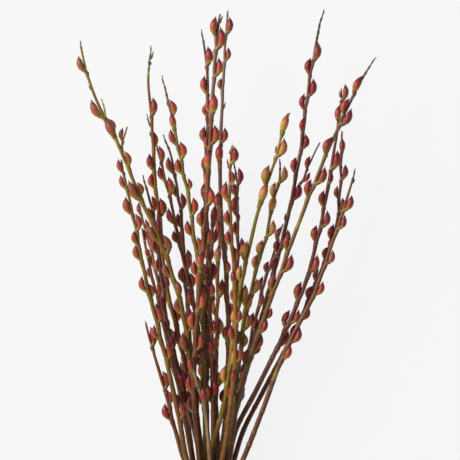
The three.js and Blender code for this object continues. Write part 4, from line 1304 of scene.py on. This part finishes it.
class WILLOW_OT_tie(bpy.types.Operator):
    """Turns of two-ply twine wound tight round the neck, with a knot and two short ends"""
    bl_idname = "willow.tie"
    bl_label = "Tie"

    def execute(self, context):
        turns = context.scene.willow_sizes.twine_turns
        surfaces = Surfaces("surface")
        radius = TIE_WIDTH / turns / 2
        outline = neck_outline(TIE_OUTER - radius, TIE_OUTLINE_POINTS)
        loops = np.vstack([outline] * turns)
        level = np.linspace(-TIE_WIDTH / 2 + radius, TIE_WIDTH / 2 - radius, len(loops))
        winding = np.stack([loops[:, 0], level, loops[:, 1]], axis=-1)
        twisted_plies(surfaces, winding, radius, WINDING_SEED)
        top = outline[np.argmax(outline[:, 1])]
        thin = radius * KNOT_TWINE_SHARE
        twisted_plies(surfaces, knot_path(top, radius), thin, KNOT_SEED)
        for way in (-1, 1):
            twisted_plies(surfaces, knot_end_path(top, way), thin, KNOT_END_SEED + way)
        piece = surfaces.piece("twine_turns", twine_material(context.scene.willow_colours.twine), "twine")
        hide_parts("twine_tie")
        return {"FINISHED"}


class WILLOW_OT_stage(bpy.types.Operator):
    """Pale table, soft lights and the camera straight above"""
    bl_idname = "willow.stage"
    bl_label = "Stage"

    def execute(self, context):
        scene, stage = context.scene, context.scene.willow_stage
        mesh = bpy.data.meshes.new("table")
        half, level = TABLE_HALF_WIDTH, TABLE_LEVEL
        mesh.from_pydata([(-half, -half, level), (half, -half, level), (half, half, level),
                          (-half, half, level)], [], [(0, 1, 2, 3)])
        shader = Shader("table", roughness=0.9, specular=0.1)
        shader.surface.inputs["Emission Color"].default_value = (1, 1, 1, 1)
        shader.surface.inputs["Emission Strength"].default_value = stage.table_glow
        mesh.materials.append(shader.finish(linear(stage.table)))
        table = bpy.data.objects.new("table", mesh)
        scene.collection.objects.link(table)

        light = bpy.data.lights.new("key", "AREA")
        light.energy = stage.key_power
        light.shape = "SQUARE"
        light.size = KEY_SIZE
        key = bpy.data.objects.new("key", light)
        key.location = KEY_PLACE
        aim = np.array(KEY_AIM) - np.array(key.location)
        key.rotation_mode = "QUATERNION"
        key.rotation_quaternion = Vector(aim).to_track_quat("-Z", "Y")
        scene.collection.objects.link(key)

        world = bpy.data.worlds.new("soft_light")
        world.use_nodes = True
        background = world.node_tree.nodes["Background"]
        background.inputs["Color"].default_value = (1, 1, 1, 1)
        background.inputs["Strength"].default_value = stage.ambient
        scene.world = world

        data = bpy.data.cameras.new("camera")
        data.sensor_width = SENSOR_WIDTH
        distance = stage.camera_distance - CAMERA_FOCUS_HEIGHT
        data.lens = SENSOR_WIDTH * distance / stage.view_width
        camera = bpy.data.objects.new("camera", data)
        camera.location = (CAMERA_X, CAMERA_Y, stage.camera_distance)
        data.clip_end = CAMERA_CLIP_END
        scene.collection.objects.link(camera)
        scene.camera = camera
        scene.view_settings.view_transform = "Standard"
        return {"FINISHED"}


class WILLOW_PT_panel(bpy.types.Panel):
    """Lists the steps that grow the bunch"""
    bl_idname = "WILLOW_PT_panel"
    bl_label = "Willow bunch"
    bl_space_type = "VIEW_3D"
    bl_region_type = "UI"
    bl_category = "Willow"

    def draw(self, context):
        for operator in STEPS:
            self.layout.operator(operator.bl_idname)
        for group in (context.scene.willow_sizes, context.scene.willow_colours,
                      context.scene.willow_stage):
            for name in group.bl_rna.properties.keys():
                if name not in ("rna_type", "name"):
                    self.layout.prop(group, name)


STEPS = (WILLOW_OT_stems, WILLOW_OT_buds, WILLOW_OT_tips, WILLOW_OT_cut_ends, WILLOW_OT_tie,
         WILLOW_OT_stage)
GROUPS = {"willow_sizes": WillowSizes, "willow_colours": WillowColours, "willow_stage": WillowStage}


def register():
    """Adds the settings, the steps and the panel to Blender."""
    for group in (*GROUPS.values(), *STEPS, WILLOW_PT_panel):
        bpy.utils.register_class(group)
    for name, group in GROUPS.items():
        setattr(bpy.types.Scene, name, PointerProperty(type=group))


def unregister():
    """Takes them out again."""
    for name in GROUPS:
        delattr(bpy.types.Scene, name)
    for group in (WILLOW_PT_panel, *reversed(STEPS), *reversed(tuple(GROUPS.values()))):
        bpy.utils.unregister_class(group)


def main():
    """Registers the classes and makes every piece."""
    register()
    bpy.ops.willow.stems()
    bpy.ops.willow.buds()
    bpy.ops.willow.tips()
    bpy.ops.willow.cut_ends()
    bpy.ops.willow.tie()
    bpy.ops.willow.stage()


if __name__ == "__main__":
    main()
